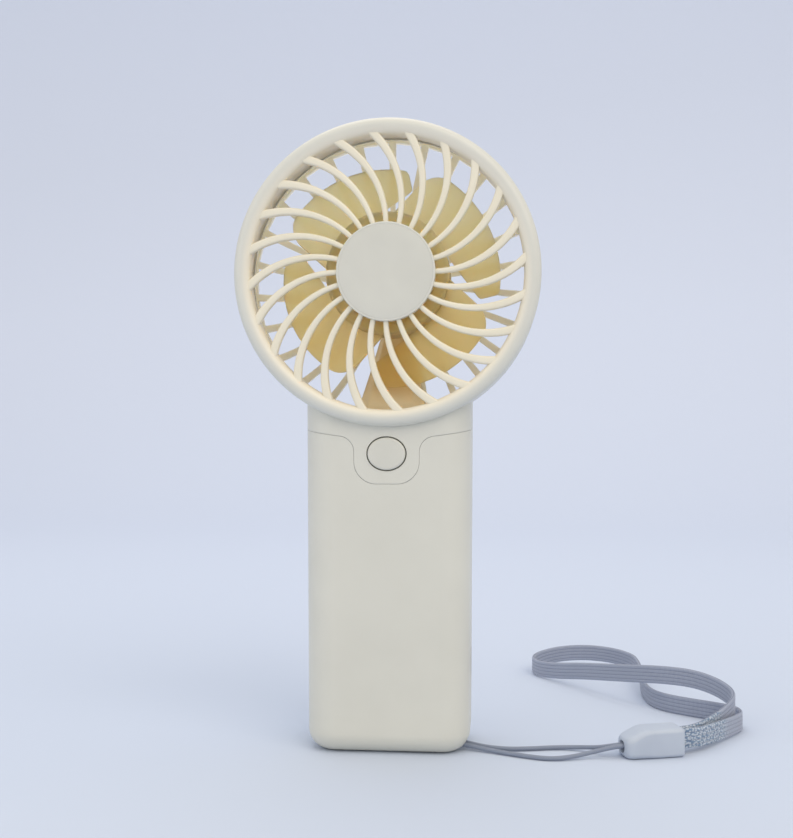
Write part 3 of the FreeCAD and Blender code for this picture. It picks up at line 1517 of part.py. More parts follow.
def build():
    fillSheet()
    shell = handleShell()
    front_half = block("front_half", "4 * ring_radius", "4 * front_face", "2 * fan_height",
                       "-2 * ring_radius", "parting - 4 * front_face", "-5")
    rear_half = block("rear_half", "4 * ring_radius", "4 * rear_face", "2 * fan_height",
                      "-2 * ring_radius", "parting + seam_gap", "-5")
    doc.recompute()
    frontCover(shell, front_half)
    centreCap()
    handleFrontCover(shell, front_half)
    rearCover(shell, rear_half)
    rearCap()
    motorCan()
    motorEndCap()
    bush("motor_front_bush", motorFront() - size("bush_nose"), size("bush_length"))
    bush("motor_rear_bush", motorRear() - 0.5, size("end_cap_thickness") + 0.5)
    magnets()
    brushes()
    screws("motor_screws", motorScrewPlaces(), size("cup_front"), size("motor_screw_length"), -1)
    armatureCore()
    armatureCoils()
    commutator()
    motorShaft()
    impeller()
    powerButton()
    tactSwitch()
    usbSocket()
    mainBoard()
    chips()
    inductor()
    screws("board_screws", boardPlaces(), boardFront(), size("board_screw_length"), -1)
    screws("cover_screws", screwPlaces(), headSeat(), size("cover_screw_length"), 1)
    batteryCell()
    motorWires()
    batteryWires()
    strapString()
    strapClasp()
    strapBand()
    doc.recompute()


def checkAndWrite():
    os.makedirs("parts", exist_ok=True)
    for thing in doc.Objects:
        if {"Invalid", "Error"} & set(thing.State):
            raise RuntimeError(f"{thing.Label} did not recompute: {thing.State}")
    for thing in sub_parts:
        shape = thing.Shape
        if shape.isNull() or not shape.isValid() or not shape.Solids:
            raise RuntimeError(f"{thing.Label} is not a valid solid")
    for thing in sub_parts:
        thing.Shape.exportStep(os.path.join("parts", thing.Label + ".step"))
        box = thing.Shape.BoundBox
        print(f"{thing.Label}: {len(thing.Shape.Solids)} solids, {thing.Shape.Volume:.1f} mm3, "
              f"x {box.XMin:.1f}..{box.XMax:.1f} y {box.YMin:.1f}..{box.YMax:.1f} z {box.ZMin:.1f}..{box.ZMax:.1f}")


build()
checkAndWrite()
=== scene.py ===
import bmesh
import bpy
import numpy as np
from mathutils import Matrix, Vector


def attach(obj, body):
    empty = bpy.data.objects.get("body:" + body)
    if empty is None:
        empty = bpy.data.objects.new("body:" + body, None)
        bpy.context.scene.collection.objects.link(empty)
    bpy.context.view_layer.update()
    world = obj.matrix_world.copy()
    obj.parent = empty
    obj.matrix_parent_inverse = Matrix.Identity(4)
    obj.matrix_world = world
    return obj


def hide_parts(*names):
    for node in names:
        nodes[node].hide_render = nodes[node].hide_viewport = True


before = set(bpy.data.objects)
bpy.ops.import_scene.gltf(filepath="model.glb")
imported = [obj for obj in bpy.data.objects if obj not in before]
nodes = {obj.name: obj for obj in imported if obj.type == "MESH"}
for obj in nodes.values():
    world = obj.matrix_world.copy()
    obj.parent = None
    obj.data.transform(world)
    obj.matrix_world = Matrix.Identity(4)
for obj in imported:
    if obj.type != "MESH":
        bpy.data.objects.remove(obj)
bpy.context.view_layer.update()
print("frame loaded with", len(nodes), "nodes")

mm = 0.001          # sizes are in millimetres, but the camera, the cords' routes and the studio in metres
axisHeight = 129.3  # fan axis above the floor
partingLine = 0.8   # depth at which the front shells end
seamLine = 0.05     # gap between neighbouring shells

camera = {
    "place": (0.0305, -0.3181, 0.0901),
    "heading": (-0.0910, 0.9959, 0.0),
    "lens": 49.1,
}


def putInScene(name, data, place, heading):
    # a camera or a lamp at its place, looking along its heading
    holder = bpy.data.objects.new(name, data)
    holder.location = place
    holder.rotation_mode = "QUATERNION"
    holder.rotation_quaternion = Vector(heading).to_track_quat("-Z", "Y")
    bpy.context.scene.collection.objects.link(holder)
    return holder


def placeCamera():
    data = bpy.data.cameras.new("camera")
    data.lens = camera["lens"]
    data.clip_start, data.clip_end = 0.01, 20
    bpy.context.scene.camera = putInScene("camera", data, camera["place"], camera["heading"])


placeCamera()
bpy.context.scene.view_settings.view_transform = "Standard"


def linearColour(code):
    # sRGB hex to the linear values that shaders take
    value = np.array([int(code[i:i + 2], 16) for i in (1, 3, 5)]) / 255
    linear = np.where(value <= 0.04045, value / 12.92, ((value + 0.055) / 1.055) ** 2.4)
    return (*linear.tolist(), 1.0)


def gridPiece(name, grids, around=False, along=False, capped=False, uv=None, weld=False):
    # joins each grid's points to the next in its row and to the next row, as quads. around closes every row,
    # along joins the last row to the first, capped fills both end rows and weld merges doubles
    points, faces, ends, base = [], [], [], 0
    for grid in grids:
        rows, columns = grid.shape[:2]
        index = np.arange(rows * columns).reshape(rows, columns)
        if capped:
            ends += [(base + index[0][::-1]).tolist(), (base + index[-1]).tolist()]
        if around:
            index = np.hstack([index, index[:, :1]])
        if along:
            index = np.vstack([index, index[:1]])
        quads = np.stack([index[:-1, :-1], index[:-1, 1:], index[1:, 1:], index[1:, :-1]], -1)
        faces.append(base + quads.reshape(-1, 4))
        points.append(grid.reshape(-1, 3))
        base += rows * columns
    mesh = bpy.data.meshes.new(name)
    mesh.from_pydata((np.concatenate(points) * mm).tolist(), [], np.concatenate(faces).tolist() + ends)
    if uv is not None:
        layer = mesh.uv_layers.new(name="lay")
        corner = np.zeros(len(mesh.loops), int)
        mesh.loops.foreach_get("vertex_index", corner)
        layer.data.foreach_set("uv", uv.reshape(-1, 2)[corner].ravel())
    work = bmesh.new()
    work.from_mesh(mesh)
    if weld:
        bmesh.ops.remove_doubles(work, verts=work.verts, dist=0.002 * mm)
    bmesh.ops.recalc_face_normals(work, faces=work.faces)
    work.to_mesh(mesh)
    work.free()
    mesh.shade_smooth()
    piece = bpy.data.objects.new(name, mesh)
    bpy.context.scene.collection.objects.link(piece)
    return piece


def sharpen(piece, degrees=40):
    piece.data.set_sharp_from_angle(angle=np.radians(degrees))
    return piece


def addWall(piece, thickness, offset=-1):
    # a wall behind an open surface
    wall = piece.modifiers.new("wall", "SOLIDIFY")
    wall.thickness = thickness * mm
    wall.offset = offset


def turnForward(piece):
    # an open sheet's outside is the side towards the front
    normal = np.zeros(len(piece.data.polygons) * 3)
    area = np.zeros(len(piece.data.polygons))
    piece.data.polygons.foreach_get("normal", normal)
    piece.data.polygons.foreach_get("area", area)
    if (normal.reshape(-1, 3)[:, 1] * area).sum() > 0:
        piece.data.flip_normals()


def addBevel(piece, width, segments=2):
    bevel = piece.modifiers.new("soft edge", "BEVEL")
    bevel.width = width * mm
    bevel.segments = segments
    bevel.limit_method = "ANGLE"
    bevel.angle_limit = np.radians(50)


def bake(piece):
    # the modifiers' result becomes the piece's own mesh
    graph = bpy.context.evaluated_depsgraph_get()
    mesh = bpy.data.meshes.new_from_object(piece.evaluated_get(graph), depsgraph=graph)
    piece.modifiers.clear()
    old, piece.data = piece.data, mesh
    bpy.data.meshes.remove(old)


def dress(piece, material):
    piece.data.materials.clear()
    piece.data.materials.append(material)


def finishPiece(piece, material, *replaced, body="housing", slot="ivory_shell"):
    dress(piece, material)
    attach(piece, body)
    if replaced:
        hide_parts(*replaced)
    return piece


def aroundAxis(radius, angle, depth):
    # points round the fan axis
    across, up = radius * np.cos(angle), radius * np.sin(angle)
    return np.stack(np.broadcast_arrays(across, depth, axisHeight + up), -1)


def turned(profile, steps):
    # carries a (depth, radius) profile round the fan axis
    depth, radius = np.asarray(profile, float).T
    angle = np.linspace(0, 2 * np.pi, steps, endpoint=False)[:, None]
    return aroundAxis(radius[None], angle, depth[None])


def arc(centre, radius, start, end, steps):
    # points of a circle from start to end, in degrees
    angle = np.radians(np.linspace(start, end, steps))
    return np.stack([centre[0] + radius * np.cos(angle), centre[1] + radius * np.sin(angle)], -1)


def softLoop(halfWide, halfTall, corner, steps):
    # a rectangle with round corners: the corner circles' centres plus their radius, angle by angle
    angle = (np.arange(steps) + 0.5) / steps * 2 * np.pi
    return np.stack([np.sign(np.cos(angle)) * (halfWide - corner) + corner * np.cos(angle),
                     np.sign(np.sin(angle)) * (halfTall - corner) + corner * np.sin(angle)], -1)


def travelled(line):
    # distance along a line at each of its points
    return np.concatenate([[0], np.cumsum(np.linalg.norm(np.diff(line, axis=0), axis=1))])


def smooth(value):
    # eases from 0 to 1: three squares less two cubes
    value = np.clip(value, 0, 1)
    return value * value * (3 - 2 * value)


def plug(tree, node, links):
    for socket, output in links.items():
        tree.links.new(output, node.inputs[socket])


def newMaterial(name, settings):
    # a principled shader and its constants
    material = bpy.data.materials.new(name)
    material.use_nodes = True
    tree = material.node_tree
    tree.nodes.clear()
    out = tree.nodes.new("ShaderNodeOutputMaterial")
    shader = tree.nodes.new("ShaderNodeBsdfPrincipled")
    tree.links.new(shader.outputs[0], out.inputs[0])
    for socket, value in settings.items():
        shader.inputs[socket].default_value = value
    return material, tree, shader


def addNode(tree, kind, settings=None, links=None):
    # one node: settings name its properties or sockets, or give a ramp's (position, colour) stops,
    # and links give each socket's source
    node = tree.nodes.new("ShaderNode" + kind)
    for key, value in (settings or {}).items():
        if key == "stops":
            for stop, (position, code) in zip(node.color_ramp.elements, value):
                stop.position = position
                stop.color = linearColour(code)
        elif isinstance(key, str) and hasattr(node, key):
            setattr(node, key, value)
        else:
            node.inputs[key].default_value = value
    plug(tree, node, links or {})
    return node


mixShare, mixFrom, mixTo, mixResult = 0, 6, 7, 2  # sockets of a Mix node between two colours


def grainy(name, low, high, rough, grain, bump, drift=14, ior=1.54, metal=0.0, stretch=(1, 1, 1), inside=None,
           more=None):
    # base colour with a faint cloudy drift, and a bump and roughness from the surface's real grain.
    # Drift and grain are sizes in millimetres, the relief is a fifth of the grain high, and a metal keeps
    # the default IOR
    settings = {"Metallic": metal, **({} if metal else {"IOR": ior}), **(more or {})}
    material, tree, shader = newMaterial(name, settings)
    place = addNode(tree, "TexCoord").outputs["Object"]
    cloud = addNode(tree, "TexNoise", {"Scale": 1 / (drift * mm), "Detail": 3.0}, {"Vector": place})
    tint = addNode(tree, "ValToRGB", {"stops": [(0.3, low), (0.7, high)]}, {"Fac": cloud.outputs["Fac"]})
    colour = tint.outputs["Color"]
    if inside:
        # painted warm light: a second colour where the surface turns towards the fan's inside
        paintedWarmLight = addNode(tree, "Attribute", {"attribute_name": "paintedWarmLight"})
        colour = addNode(tree, "Mix", {"data_type": "RGBA", mixTo: linearColour(inside)},
                         {mixShare: paintedWarmLight.outputs["Fac"], mixFrom: colour}).outputs[mixResult]
    turn = addNode(tree, "Mapping", {"Scale": stretch}, {"Vector": place})
    grains = addNode(tree, "TexNoise", {"Scale": 1 / (grain * mm), "Detail": 2.0, "Roughness": 0.6},
                     {"Vector": turn.outputs[0]})
    relief = addNode(tree, "Bump", {"Strength": bump, "Distance": grain * mm * 0.2},
                     {"Height": grains.outputs["Fac"]})
    worn = addNode(tree, "MapRange", {"To Min": rough - 0.05, "To Max": rough + 0.06},
                   {"Value": grains.outputs["Fac"]})
    plug(tree, shader, {
        "Base Color": colour, "Normal": relief.outputs["Normal"], "Roughness": worn.outputs["Result"]})
    return material


# injection-moulded ABS: satin cream, even colour, soft broad highlights
mouldedAbs = grainy("moulded_abs", "#d2d1c7", "#d7d6cc", rough=0.36, grain=0.35, bump=0.06, drift=22)
# the same ABS as the ring, with painted warm light from the blades on its inside
ringAbs = grainy("abs_with_painted_warm_inside", "#d4d3c9", "#d9d8ce", rough=0.36, grain=0.35, bump=0.06, drift=22,
                 inside="#ebe4d2")
# the same ABS in the rear grille's thin ribs: light from behind shines through them, and their lighter,
# warmer colour is painted light
backlitAbs = grainy("backlit_abs_painted_lighter", "#f3ebd7", "#f7f0de", rough=0.4, grain=0.35, bump=0.06, drift=16, more={
    "Subsurface Weight": 0.85, "Subsurface Radius": (1.0, 0.9, 0.72), "Subsurface Scale": 4 * mm})
# the same ABS from a polished tool, for the front ribs: shinier, and a touch yellower and lighter, which is
# painted light
ribAbs = grainy("polished_rib_abs_painted_light", "#e6dfca", "#ebe4d0", rough=0.3, grain=0.3, bump=0.04, drift=16)
# spark-eroded ABS of the cap and the button: flat and matt, slightly greyer than the ring around it
mattAbs = grainy("spark_eroded_abs", "#cfcec4", "#d4d3c9", rough=0.5, grain=0.25, bump=0.12, drift=12)
# the same ABS, painted with the warm light that the tinted blades cast on it
ductAbs = grainy("abs_painted_amber_lit", "#fde9bd", "#fff0c9", rough=0.4, grain=0.35, bump=0.06, drift=16)

amber = {
    "low": "#fde0a3",
    "high": "#ffeec2",
    # painted light: between these heights the colour turns from low to high
    "fade": (-18, 14),      # heights from the fan axis between which low turns to high
    "ripple": 5.0,
    "rippleDepth": 0.3,
}


def tintedPolycarbonate():
    # tinted polycarbonate, milky enough to hide what is behind it: two layers look deeper than one,
    # and painted light makes the colour deeper in the lower blades than in the upper ones
    material, tree, shader = newMaterial("tinted_polycarbonate", {
        "Roughness": 0.85, "IOR": 1.08, "Transmission Weight": 0.6, "Subsurface Weight": 1.0,
        "Subsurface Radius": (1.0, 0.85, 0.5), "Subsurface Scale": 4 * mm})
    place = addNode(tree, "TexCoord").outputs["Object"]
    level = addNode(tree, "SeparateXYZ", {}, {"Vector": place})
    low, high = ((axisHeight + end) * mm for end in amber["fade"])
    # painted light: the colour deepens lower down the blades
    up = addNode(tree, "MapRange", {"From Min": low, "From Max": high}, {"Value": level.outputs["Z"]})
    tint = addNode(tree, "ValToRGB", {"stops": [(0, amber["low"]), (1, amber["high"])]},
                   {"Fac": up.outputs["Result"]})
    ripple = addNode(tree, "TexNoise", {"Scale": 1 / (amber["ripple"] * mm), "Detail": 1}, {"Vector": place})
    bump = addNode(tree, "Bump", {"Strength": 0.08, "Distance": amber["rippleDepth"] * mm},
                   {"Height": ripple.outputs["Fac"]})
    plug(tree, shader, {"Base Color": tint.outputs["Color"], "Normal": bump.outputs["Normal"]})
    return material


bladeAmber = tintedPolycarbonate()

# what stays behind the shells keeps its plain engineering finish, named for the real material and how it is
# made. Each has the nodes that wear it, low and high colour, roughness, grain, bump, and what sets it apart
metal = {"metal": 1.0}
insideFinishes = {
    "zincSteel": ("motor_can", "#a9abad", "#b6b8ba", 0.3, 0.6, 0.08, metal),
    "blackNylon": ("tact_switch_body tact_switch_plunger usb_tongue", "#1d1d1f", "#232325", 0.5, 0.3, 0.1,
                   {"ior": 1.53}),
    "whiteNylon": ("motor_end_cap", "#d8d6cf", "#dddbd4", 0.45, 0.4, 0.08, {"ior": 1.53}),
    "sinteredBronze": ("motor_front_bush motor_rear_bush", "#97704a", "#a67e56", 0.45, 0.15, 0.3, metal),
    "ferriteMagnet": ("motor_magnets", "#3a3a3c", "#444446", 0.6, 0.3, 0.25, {"ior": 2.0}),
    "rolledBronze": ("motor_brushes commutator", "#b98a55", "#c39562", 0.28, 0.3, 0.05, metal),
    "stackedLamination": ("armature_core", "#7d7f83", "#8b8d91", 0.4, 0.5, 0.5,
                          {"metal": 1.0, "stretch": (0.05, 1, 0.05)}),
    "enamelledCopper": ("armature_coils", "#a3542c", "#b86438", 0.32, 0.25, 0.5,
                        {"metal": 1.0, "stretch": (1, 0.1, 1)}),
    "groundSteel": ("motor_shaft", "#b9bbbd", "#c4c6c8", 0.18, 0.2, 0.03, metal),
    "nickelScrew": ("motor_screws board_screws cover_screws", "#b3b1ac", "#bfbdb8", 0.28, 0.25, 0.08, metal),
    "platedSheet": ("usb_socket", "#b6b7b8", "#c2c3c4", 0.22, 0.4, 0.04, metal),
    "solderMask": ("main_board", "#1e5a36", "#25683f", 0.3, 0.5, 0.12, {"ior": 1.52}),
    "epoxyChip": ("board_chips board_inductor", "#202124", "#27282b", 0.48, 0.2, 0.15, {"ior": 1.55}),
    "foilPouch": ("battery_cell", "#9fa2a6", "#b0b3b7", 0.35, 2.0, 0.4, {"metal": 0.9}),
    "rubberFoam": ("battery_foam", "#5c5c5e", "#6a6a6c", 0.85, 0.4, 0.6, {"ior": 1.45}),
    "redPvc": ("motor_wire_red battery_wire_red", "#a8231d", "#b32c25", 0.4, 0.4, 0.05, {"ior": 1.53}),
    "blackPvc": ("motor_wire_black battery_wire_black", "#1b1b1c", "#202021", 0.4, 0.4, 0.05, {"ior": 1.53}),
}
for finish, (labels, *look, apart) in insideFinishes.items():
    material = grainy(finish, *look, **apart)
    for label in labels.split():
        dress(nodes[label], material)
for label in ("rear_cover", "rear_cap", "front_cover", "handle_front_cover"):
    dress(nodes[label], mouldedAbs)
dress(nodes["impeller"], bladeAmber)

# the rear cover's ribs and the inside of its dome get the backlit copy of the ABS, whose lighter colour is
# painted light
rear = nodes["rear_cover"]
rear.data.materials.append(backlitAbs)
domeRadius = 39.3
for face in rear.data.polygons:
    spot = rear.matrix_world @ face.center / mm
    if np.hypot(spot.x, spot.z - axisHeight) < domeRadius and face.normal.y < 0.5:
        face.material_index = 1
print("materials made:", len(bpy.data.materials))

stringRoute = [
    (0.0639, -0.0094, 0.0032), (0.0606, -0.0104, 0.003), (0.0548, -0.0108, 0.0016), (0.0494, -0.013, 0.0008),
    (0.0433, -0.0149, 0.00062), (0.0365, -0.0126, 0.00062), (0.0304, -0.0099, 0.00066),
    (0.0252, -0.0078, 0.0009), (0.0216, -0.0066, 0.0014), (0.0168, -0.0063, 0.0019),
    (0.0168, -0.0031, 0.0019), (0.0216, -0.0045, 0.0014), (0.0264, -0.0058, 0.0008),
    (0.032, -0.0068, 0.00064), (0.0382, -0.0058, 0.00062), (0.0452, -0.0039, 0.00062),
    (0.0519, -0.0042, 0.0009), (0.0568, -0.0075, 0.0019), (0.0602, -0.0091, 0.003),
    (0.0635, -0.0082, 0.0032),
]
bandRoute = [
    (0.0759, -0.0059, 0.0042), (0.083, -0.0036, 0.004), (0.0898, 0.005, 0.0035), (0.0958, 0.0132, 0.0031),
    (0.1002, 0.0203, 0.00285), (0.0995, 0.027, 0.0028), (0.0937, 0.0311, 0.0028), (0.0867, 0.0354, 0.0028),
    (0.0802, 0.0406, 0.0028), (0.0769, 0.0477, 0.0028), (0.0763, 0.0603, 0.003), (0.0775, 0.0708, 0.0035),
    (0.0777, 0.0819, 0.0042), (0.0765, 0.0895, 0.005), (0.0701, 0.0971, 0.0055), (0.0609, 0.1008, 0.0056),
    (0.0519, 0.0994, 0.0052), (0.0452, 0.0962, 0.0042), (0.0414, 0.0915, 0.0032), (0.0434, 0.084, 0.0029),
    (0.05, 0.0765, 0.0039), (0.0573, 0.0675, 0.006), (0.0646, 0.0554, 0.0084), (0.0724, 0.0451, 0.0104),
    (0.0803, 0.0387, 0.0116), (0.0887, 0.0334, 0.0118), (0.0953, 0.0271, 0.0104), (0.0984, 0.0202, 0.0082),
    (0.0942, 0.0145, 0.0056), (0.0879, 0.0054, 0.0047), (0.0818, -0.0021, 0.0041), (0.0754, -0.0043, 0.0042),
]
strap = {
    "stringDiameter": 1.2,
    "bandWidth": 5.5,
    "bandThickness": 1.1,
    "ridges": 5,            # lengthwise ribs of the weave
    "ridgeDepth": 0.16,     # share of the thickness lost between them
    "sewnLength": 26.0,     # both layers lie together from the clasp to here
    "sewnFade": 6.0,
}


def routeLine(name, route):
    # points of the NURBS curve that the route's points control
    curve = bpy.data.curves.new(name, "CURVE")
    curve.dimensions = "3D"
    curve.resolution_u = 14
    spline = curve.splines.new("NURBS")
    spline.points.add(len(route) - 1)
    spline.points.foreach_set("co", np.hstack([np.array(route), np.ones((len(route), 1))]).ravel())
    spline.order_u = 3
    spline.use_endpoint_u = True
    holder = bpy.data.objects.new(name, curve)
    bpy.context.scene.collection.objects.link(holder)
    mesh = bpy.data.meshes.new_from_object(holder)
    line = np.zeros(len(mesh.vertices) * 3)
    mesh.vertices.foreach_get("co", line)
    bpy.data.meshes.remove(mesh)
    bpy.data.objects.remove(holder)
    bpy.data.curves.remove(curve)
    return line.reshape(-1, 3) / mm


def carried(line, section):
    # a section's (side, up) points carried along a line on its level side and upright, with the distances
    # along and around in millimetres as UV
    ahead = np.gradient(line, axis=0)
    ahead /= np.linalg.norm(ahead, axis=1)[:, None]
    side = np.cross(ahead, [0, 0, 1.0])
    side /= np.linalg.norm(side, axis=1)[:, None]
    up = np.cross(side, ahead)
    grid = line[:, None] + section[None, :, :1] * side[:, None] + section[None, :, 1:] * up[:, None]
    travel = travelled(line)
    return grid, np.stack(np.broadcast_arrays(travel[:, None], travelled(section)[None]), -1), travel


wavesPerUnit = 3.1      # of a wave texture at scale 1

string = {
    "low": "#747d90",
    "high": "#8e97aa",
    "strand": 0.5,
    "slant": 0.7,           # the strands' turn across the string, in radians
    "relief": 0.1,
}


def twistedNylon():
    # two-ply twisted nylon: slanting strands that show as fine stripes across the string
    material, tree, shader = newMaterial("twisted_nylon", {"Roughness": 0.55, "Sheen Weight": 0.2})
    lay = addNode(tree, "UVMap", {"uv_map": "lay"})
    turn = addNode(tree, "Mapping", {"Rotation": (0, 0, string["slant"])}, {"Vector": lay.outputs[0]})
    wave = addNode(tree, "TexWave", {"Scale": 1 / string["strand"] / wavesPerUnit, "Distortion": 0.6},
                   {"Vector": turn.outputs[0]})
    tint = addNode(tree, "ValToRGB", {"stops": [(0, string["low"]), (1, string["high"])]},
                   {"Fac": wave.outputs["Fac"]})
    bump = addNode(tree, "Bump", {"Strength": 0.5, "Distance": string["relief"] * mm},
                   {"Height": wave.outputs["Fac"]})
    plug(tree, shader, {"Base Color": tint.outputs["Color"], "Normal": bump.outputs["Normal"]})
    return material


weave = {
    "low": "#8d95ab",
    "high": "#abb2c3",
    "grooveShade": "#6e778f",
    "thread": 0.42,
    "threadRelief": 0.12,
    "stitch": 0.72,
    "stitchTurn": 0.35,     # the stitches lie slanted, and are longer than wide
    "stitchScale": (0.85, 1.2, 1),
    "stitchRelief": 0.25,
    "stitchLow": "#7089a6",
    "stitchHigh": "#c2cbd7",
}


def wovenPolyester():
    # flat woven polyester tape: lengthwise ridges crossed by fine weft threads, with painted shade in the
    # dips between the ridges, and coarse pale and blue stitches where the two layers are sewn together
    material, tree, shader = newMaterial("woven_polyester", {
        "Roughness": 0.7, "Sheen Weight": 0.35, "Sheen Roughness": 0.4})
    lay = addNode(tree, "UVMap", {"uv_map": "lay"})
    weft = addNode(tree, "TexWave", {
        "Scale": 1 / weave["thread"] / wavesPerUnit, "Distortion": 1.5, "Detail": 1.0, "Detail Scale": 2.0},
        {"Vector": lay.outputs[0]})
    turn = addNode(tree, "Mapping", {"Rotation": (0, 0, weave["stitchTurn"]), "Scale": weave["stitchScale"]},
                   {"Vector": lay.outputs[0]})
    stitch = addNode(tree, "TexVoronoi", {"Scale": 1 / weave["stitch"], "voronoi_dimensions": "2D"},
                     {"Vector": turn.outputs[0]})
    sewn = addNode(tree, "Attribute", {"attribute_name": "sewn"})
    grooveShade = addNode(tree, "Attribute", {"attribute_name": "grooveShade"})
    plain = addNode(tree, "ValToRGB", {"stops": [(0, weave["low"]), (1, weave["high"])]},
                    {"Fac": weft.outputs["Fac"]})
    speckle = addNode(tree, "ValToRGB", {"stops": [(0.25, weave["stitchHigh"]), (0.6, weave["stitchLow"])]},
                      {"Fac": stitch.outputs["Distance"]})
    mixed = addNode(tree, "Mix", {"data_type": "RGBA"}, {
        mixShare: sewn.outputs["Fac"], mixFrom: plain.outputs["Color"], mixTo: speckle.outputs["Color"]})
    dark = addNode(tree, "Mix", {"data_type": "RGBA", mixTo: linearColour(weave["grooveShade"])}, {
        mixShare: grooveShade.outputs["Fac"], mixFrom: mixed.outputs[mixResult]})
    bump = addNode(tree, "Bump", {"Strength": 0.6, "Distance": weave["threadRelief"] * mm},
                   {"Height": weft.outputs["Fac"]})
    coarse = addNode(tree, "Bump", {"Distance": weave["stitchRelief"] * mm}, {
        "Height": stitch.outputs["Distance"], "Normal": bump.outputs["Normal"],
        "Strength": sewn.outputs["Fac"]})
    plug(tree, shader, {"Base Color": dark.outputs[mixResult], "Normal": coarse.outputs["Normal"]})
    return material


stringNylon = twistedNylon()
bandPolyester = wovenPolyester()
# the strap's clasp: satin moulded ABS in the blue of the weave
claspAbs = grainy("satin_blue_abs", "#b3bccb", "#b9c2d0", rough=0.42, grain=0.3, bump=0.08, drift=9)


def floatAttribute(piece, name, values):
    layer = piece.data.attributes.new(name, "FLOAT", "POINT")
    layer.data.foreach_set("value", np.ascontiguousarray(values, np.float32).ravel())


def bandSection():
    # half the thickness falls to nothing at the selvedges and dips between the ridges
    height = np.linspace(-1, 1, 61)
    dip = 1 - np.abs(np.sin(strap["ridges"] * np.pi * (height + 1) / 2)) ** 0.6
    edge = np.sqrt(1 - np.abs(height) ** 10)
    half = strap["bandThickness"] / 2 * edge * (1 - strap["ridgeDepth"] * dip)
    front = np.stack([half, height * strap["bandWidth"] / 2], -1)
    back = np.stack([-half, height * strap["bandWidth"] / 2], -1)[::-1]
    return np.vstack([front, back[1:-1]]), np.concatenate([dip, dip[::-1][1:-1]])


def makeString():
    line = routeLine("string_route", stringRoute)
    radius = strap["stringDiameter"] / 2
    section = arc((0, 0), radius, 0, 330, 12)
    grid, uv, _ = carried(line, section)
    piece = gridPiece("wrist_string", [grid], around=True, capped=True, uv=uv)
    finishPiece(piece, stringNylon, "strap_string", slot="string_grey_blue")
    return piece, line


def makeBand():
    line = routeLine("band_route", bandRoute)
    section, dip = bandSection()
    grid, uv, travel = carried(line, section)
    piece = gridPiece("wrist_band", [grid], around=True, capped=True, uv=uv)
    beyond = np.minimum(travel, travel[-1] - travel) - strap["sewnLength"]
    near = 1 - smooth(beyond / strap["sewnFade"] + 1)
    floatAttribute(piece, "sewn", np.repeat(near[:, None], len(section), 1))
    # painted shade in the dips between the weave's ridges
    floatAttribute(piece, "grooveShade", np.repeat(dip[None] ** 3, len(line), 0))
    finishPiece(piece, bandPolyester, "strap_band", slot="strap_grey_blue")
    return piece, line


clasp = {
    "place": (70.4, -6.7),
    "turn": 17.1,
    "length": 16.4,
    "halfWidth": 4.1,
    "height": 7.6,
    "nose": 2.2,            # the string's end: how far it swells, and its half width and height before that
    "noseHalf": 2.0,
    "noseTop": 5.6,
    "noseTrim": (0.75, 0.9),    # how far its tip is lifted below and lowered above
    "shoulder": 6.5,        # from the nose to the full height
    "corner": (1.7, 1.2),   # upright corners at the nose and at the band's end
    "cornerFade": (2.0, 8.0),   # where they start to change, and over what length
    "rim": 0.6,
    "hole": 2.8,            # height of the string hole's middle
    # its rings: depth, half width, half height and corner
    "holeRings": [(5.0, 1.45, 1.45, 1.3), (0.4, 1.5, 1.5, 1.35), (0.05, 1.75, 1.7, 1.5)],
    "slot": (1.3, 7.1),     # band slot, from and to above the floor
    # its rings: depth, half width, added height and corner
    "slotRings": [(0.05, 1.8, 0.1, 0.5), (0.4, 1.65, 0.0, 0.4), (4.5, 1.65, 0.0, 0.4)],
}


def claspRow(along, half, low, high, corner):
    loop = softLoop(half, (high - low) / 2, min(corner, (high - low) / 2, half), 48)
    return np.stack([np.full(len(loop), along), -loop[:, 0], loop[:, 1] + (high + low) / 2], -1)


def makeClasp():
    # rows of rounded rectangles from inside the string hole, over the outside, to inside the band slot
    end, half, tall, rim = clasp["length"] / 2, clasp["halfWidth"], clasp["height"], clasp["rim"]
    hole, nose, narrow, noseTop = clasp["hole"], clasp["nose"], clasp["noseHalf"], clasp["noseTop"]
    (front, back), (slotLow, slotHigh) = clasp["corner"], clasp["slot"]
    (trimLow, trimHigh), (fadeStart, fadeLength) = clasp["noseTrim"], clasp["cornerFade"]

    def topAt(along):
        return noseTop + (tall - noseTop) * smooth((along + end) / clasp["shoulder"])

    rows = [claspRow(deep - end, wide, hole - high, hole + high, corner)
            for deep, wide, high, corner in clasp["holeRings"]]
    for share in np.linspace(0.12, 1, 9):
        # the nose swells along a quarter circle, which lifts its underside and lowers its top
        swell = np.sqrt(1 - (1 - share) ** 2)
        along = nose * share - end
        rows.append(claspRow(along, narrow + (half - narrow) * swell, trimLow * (1 - swell),
                             topAt(along) - trimHigh * (1 - swell), front))
    for along in np.linspace(nose + 0.8 - end, end - 0.9, 12):
        corner = front - (front - back) * smooth((along + end - fadeStart) / fadeLength)
        rows.append(claspRow(along, half, 0, topAt(along), corner))
    for turn in np.radians([25, 50, 75, 90]):
        inset, along = rim * (1 - np.cos(turn)), end - rim + rim * np.sin(turn)
        rows.append(claspRow(along, half - inset, inset, tall - inset, back - inset / 2))
    rows += [claspRow(end - deep, wide, slotLow - more, slotHigh + more, corner)
             for deep, wide, more, corner in clasp["slotRings"]]
    along, aside, level = np.moveaxis(np.stack(rows), -1, 0)
    turn = np.radians(clasp["turn"])
    grid = np.stack([clasp["place"][0] + along * np.cos(turn) - aside * np.sin(turn),
                     clasp["place"][1] + along * np.sin(turn) + aside * np.cos(turn), level], -1)
    piece = sharpen(gridPiece("wrist_clasp", [grid], around=True, capped=True), 50)
    return finishPiece(piece, claspAbs, "strap_clasp", slot="clasp_grey_blue")


wristString, stringLine = makeString()
wristBand, bandLine = makeBand()
wristClasp = makeClasp()
print("strap laid out")

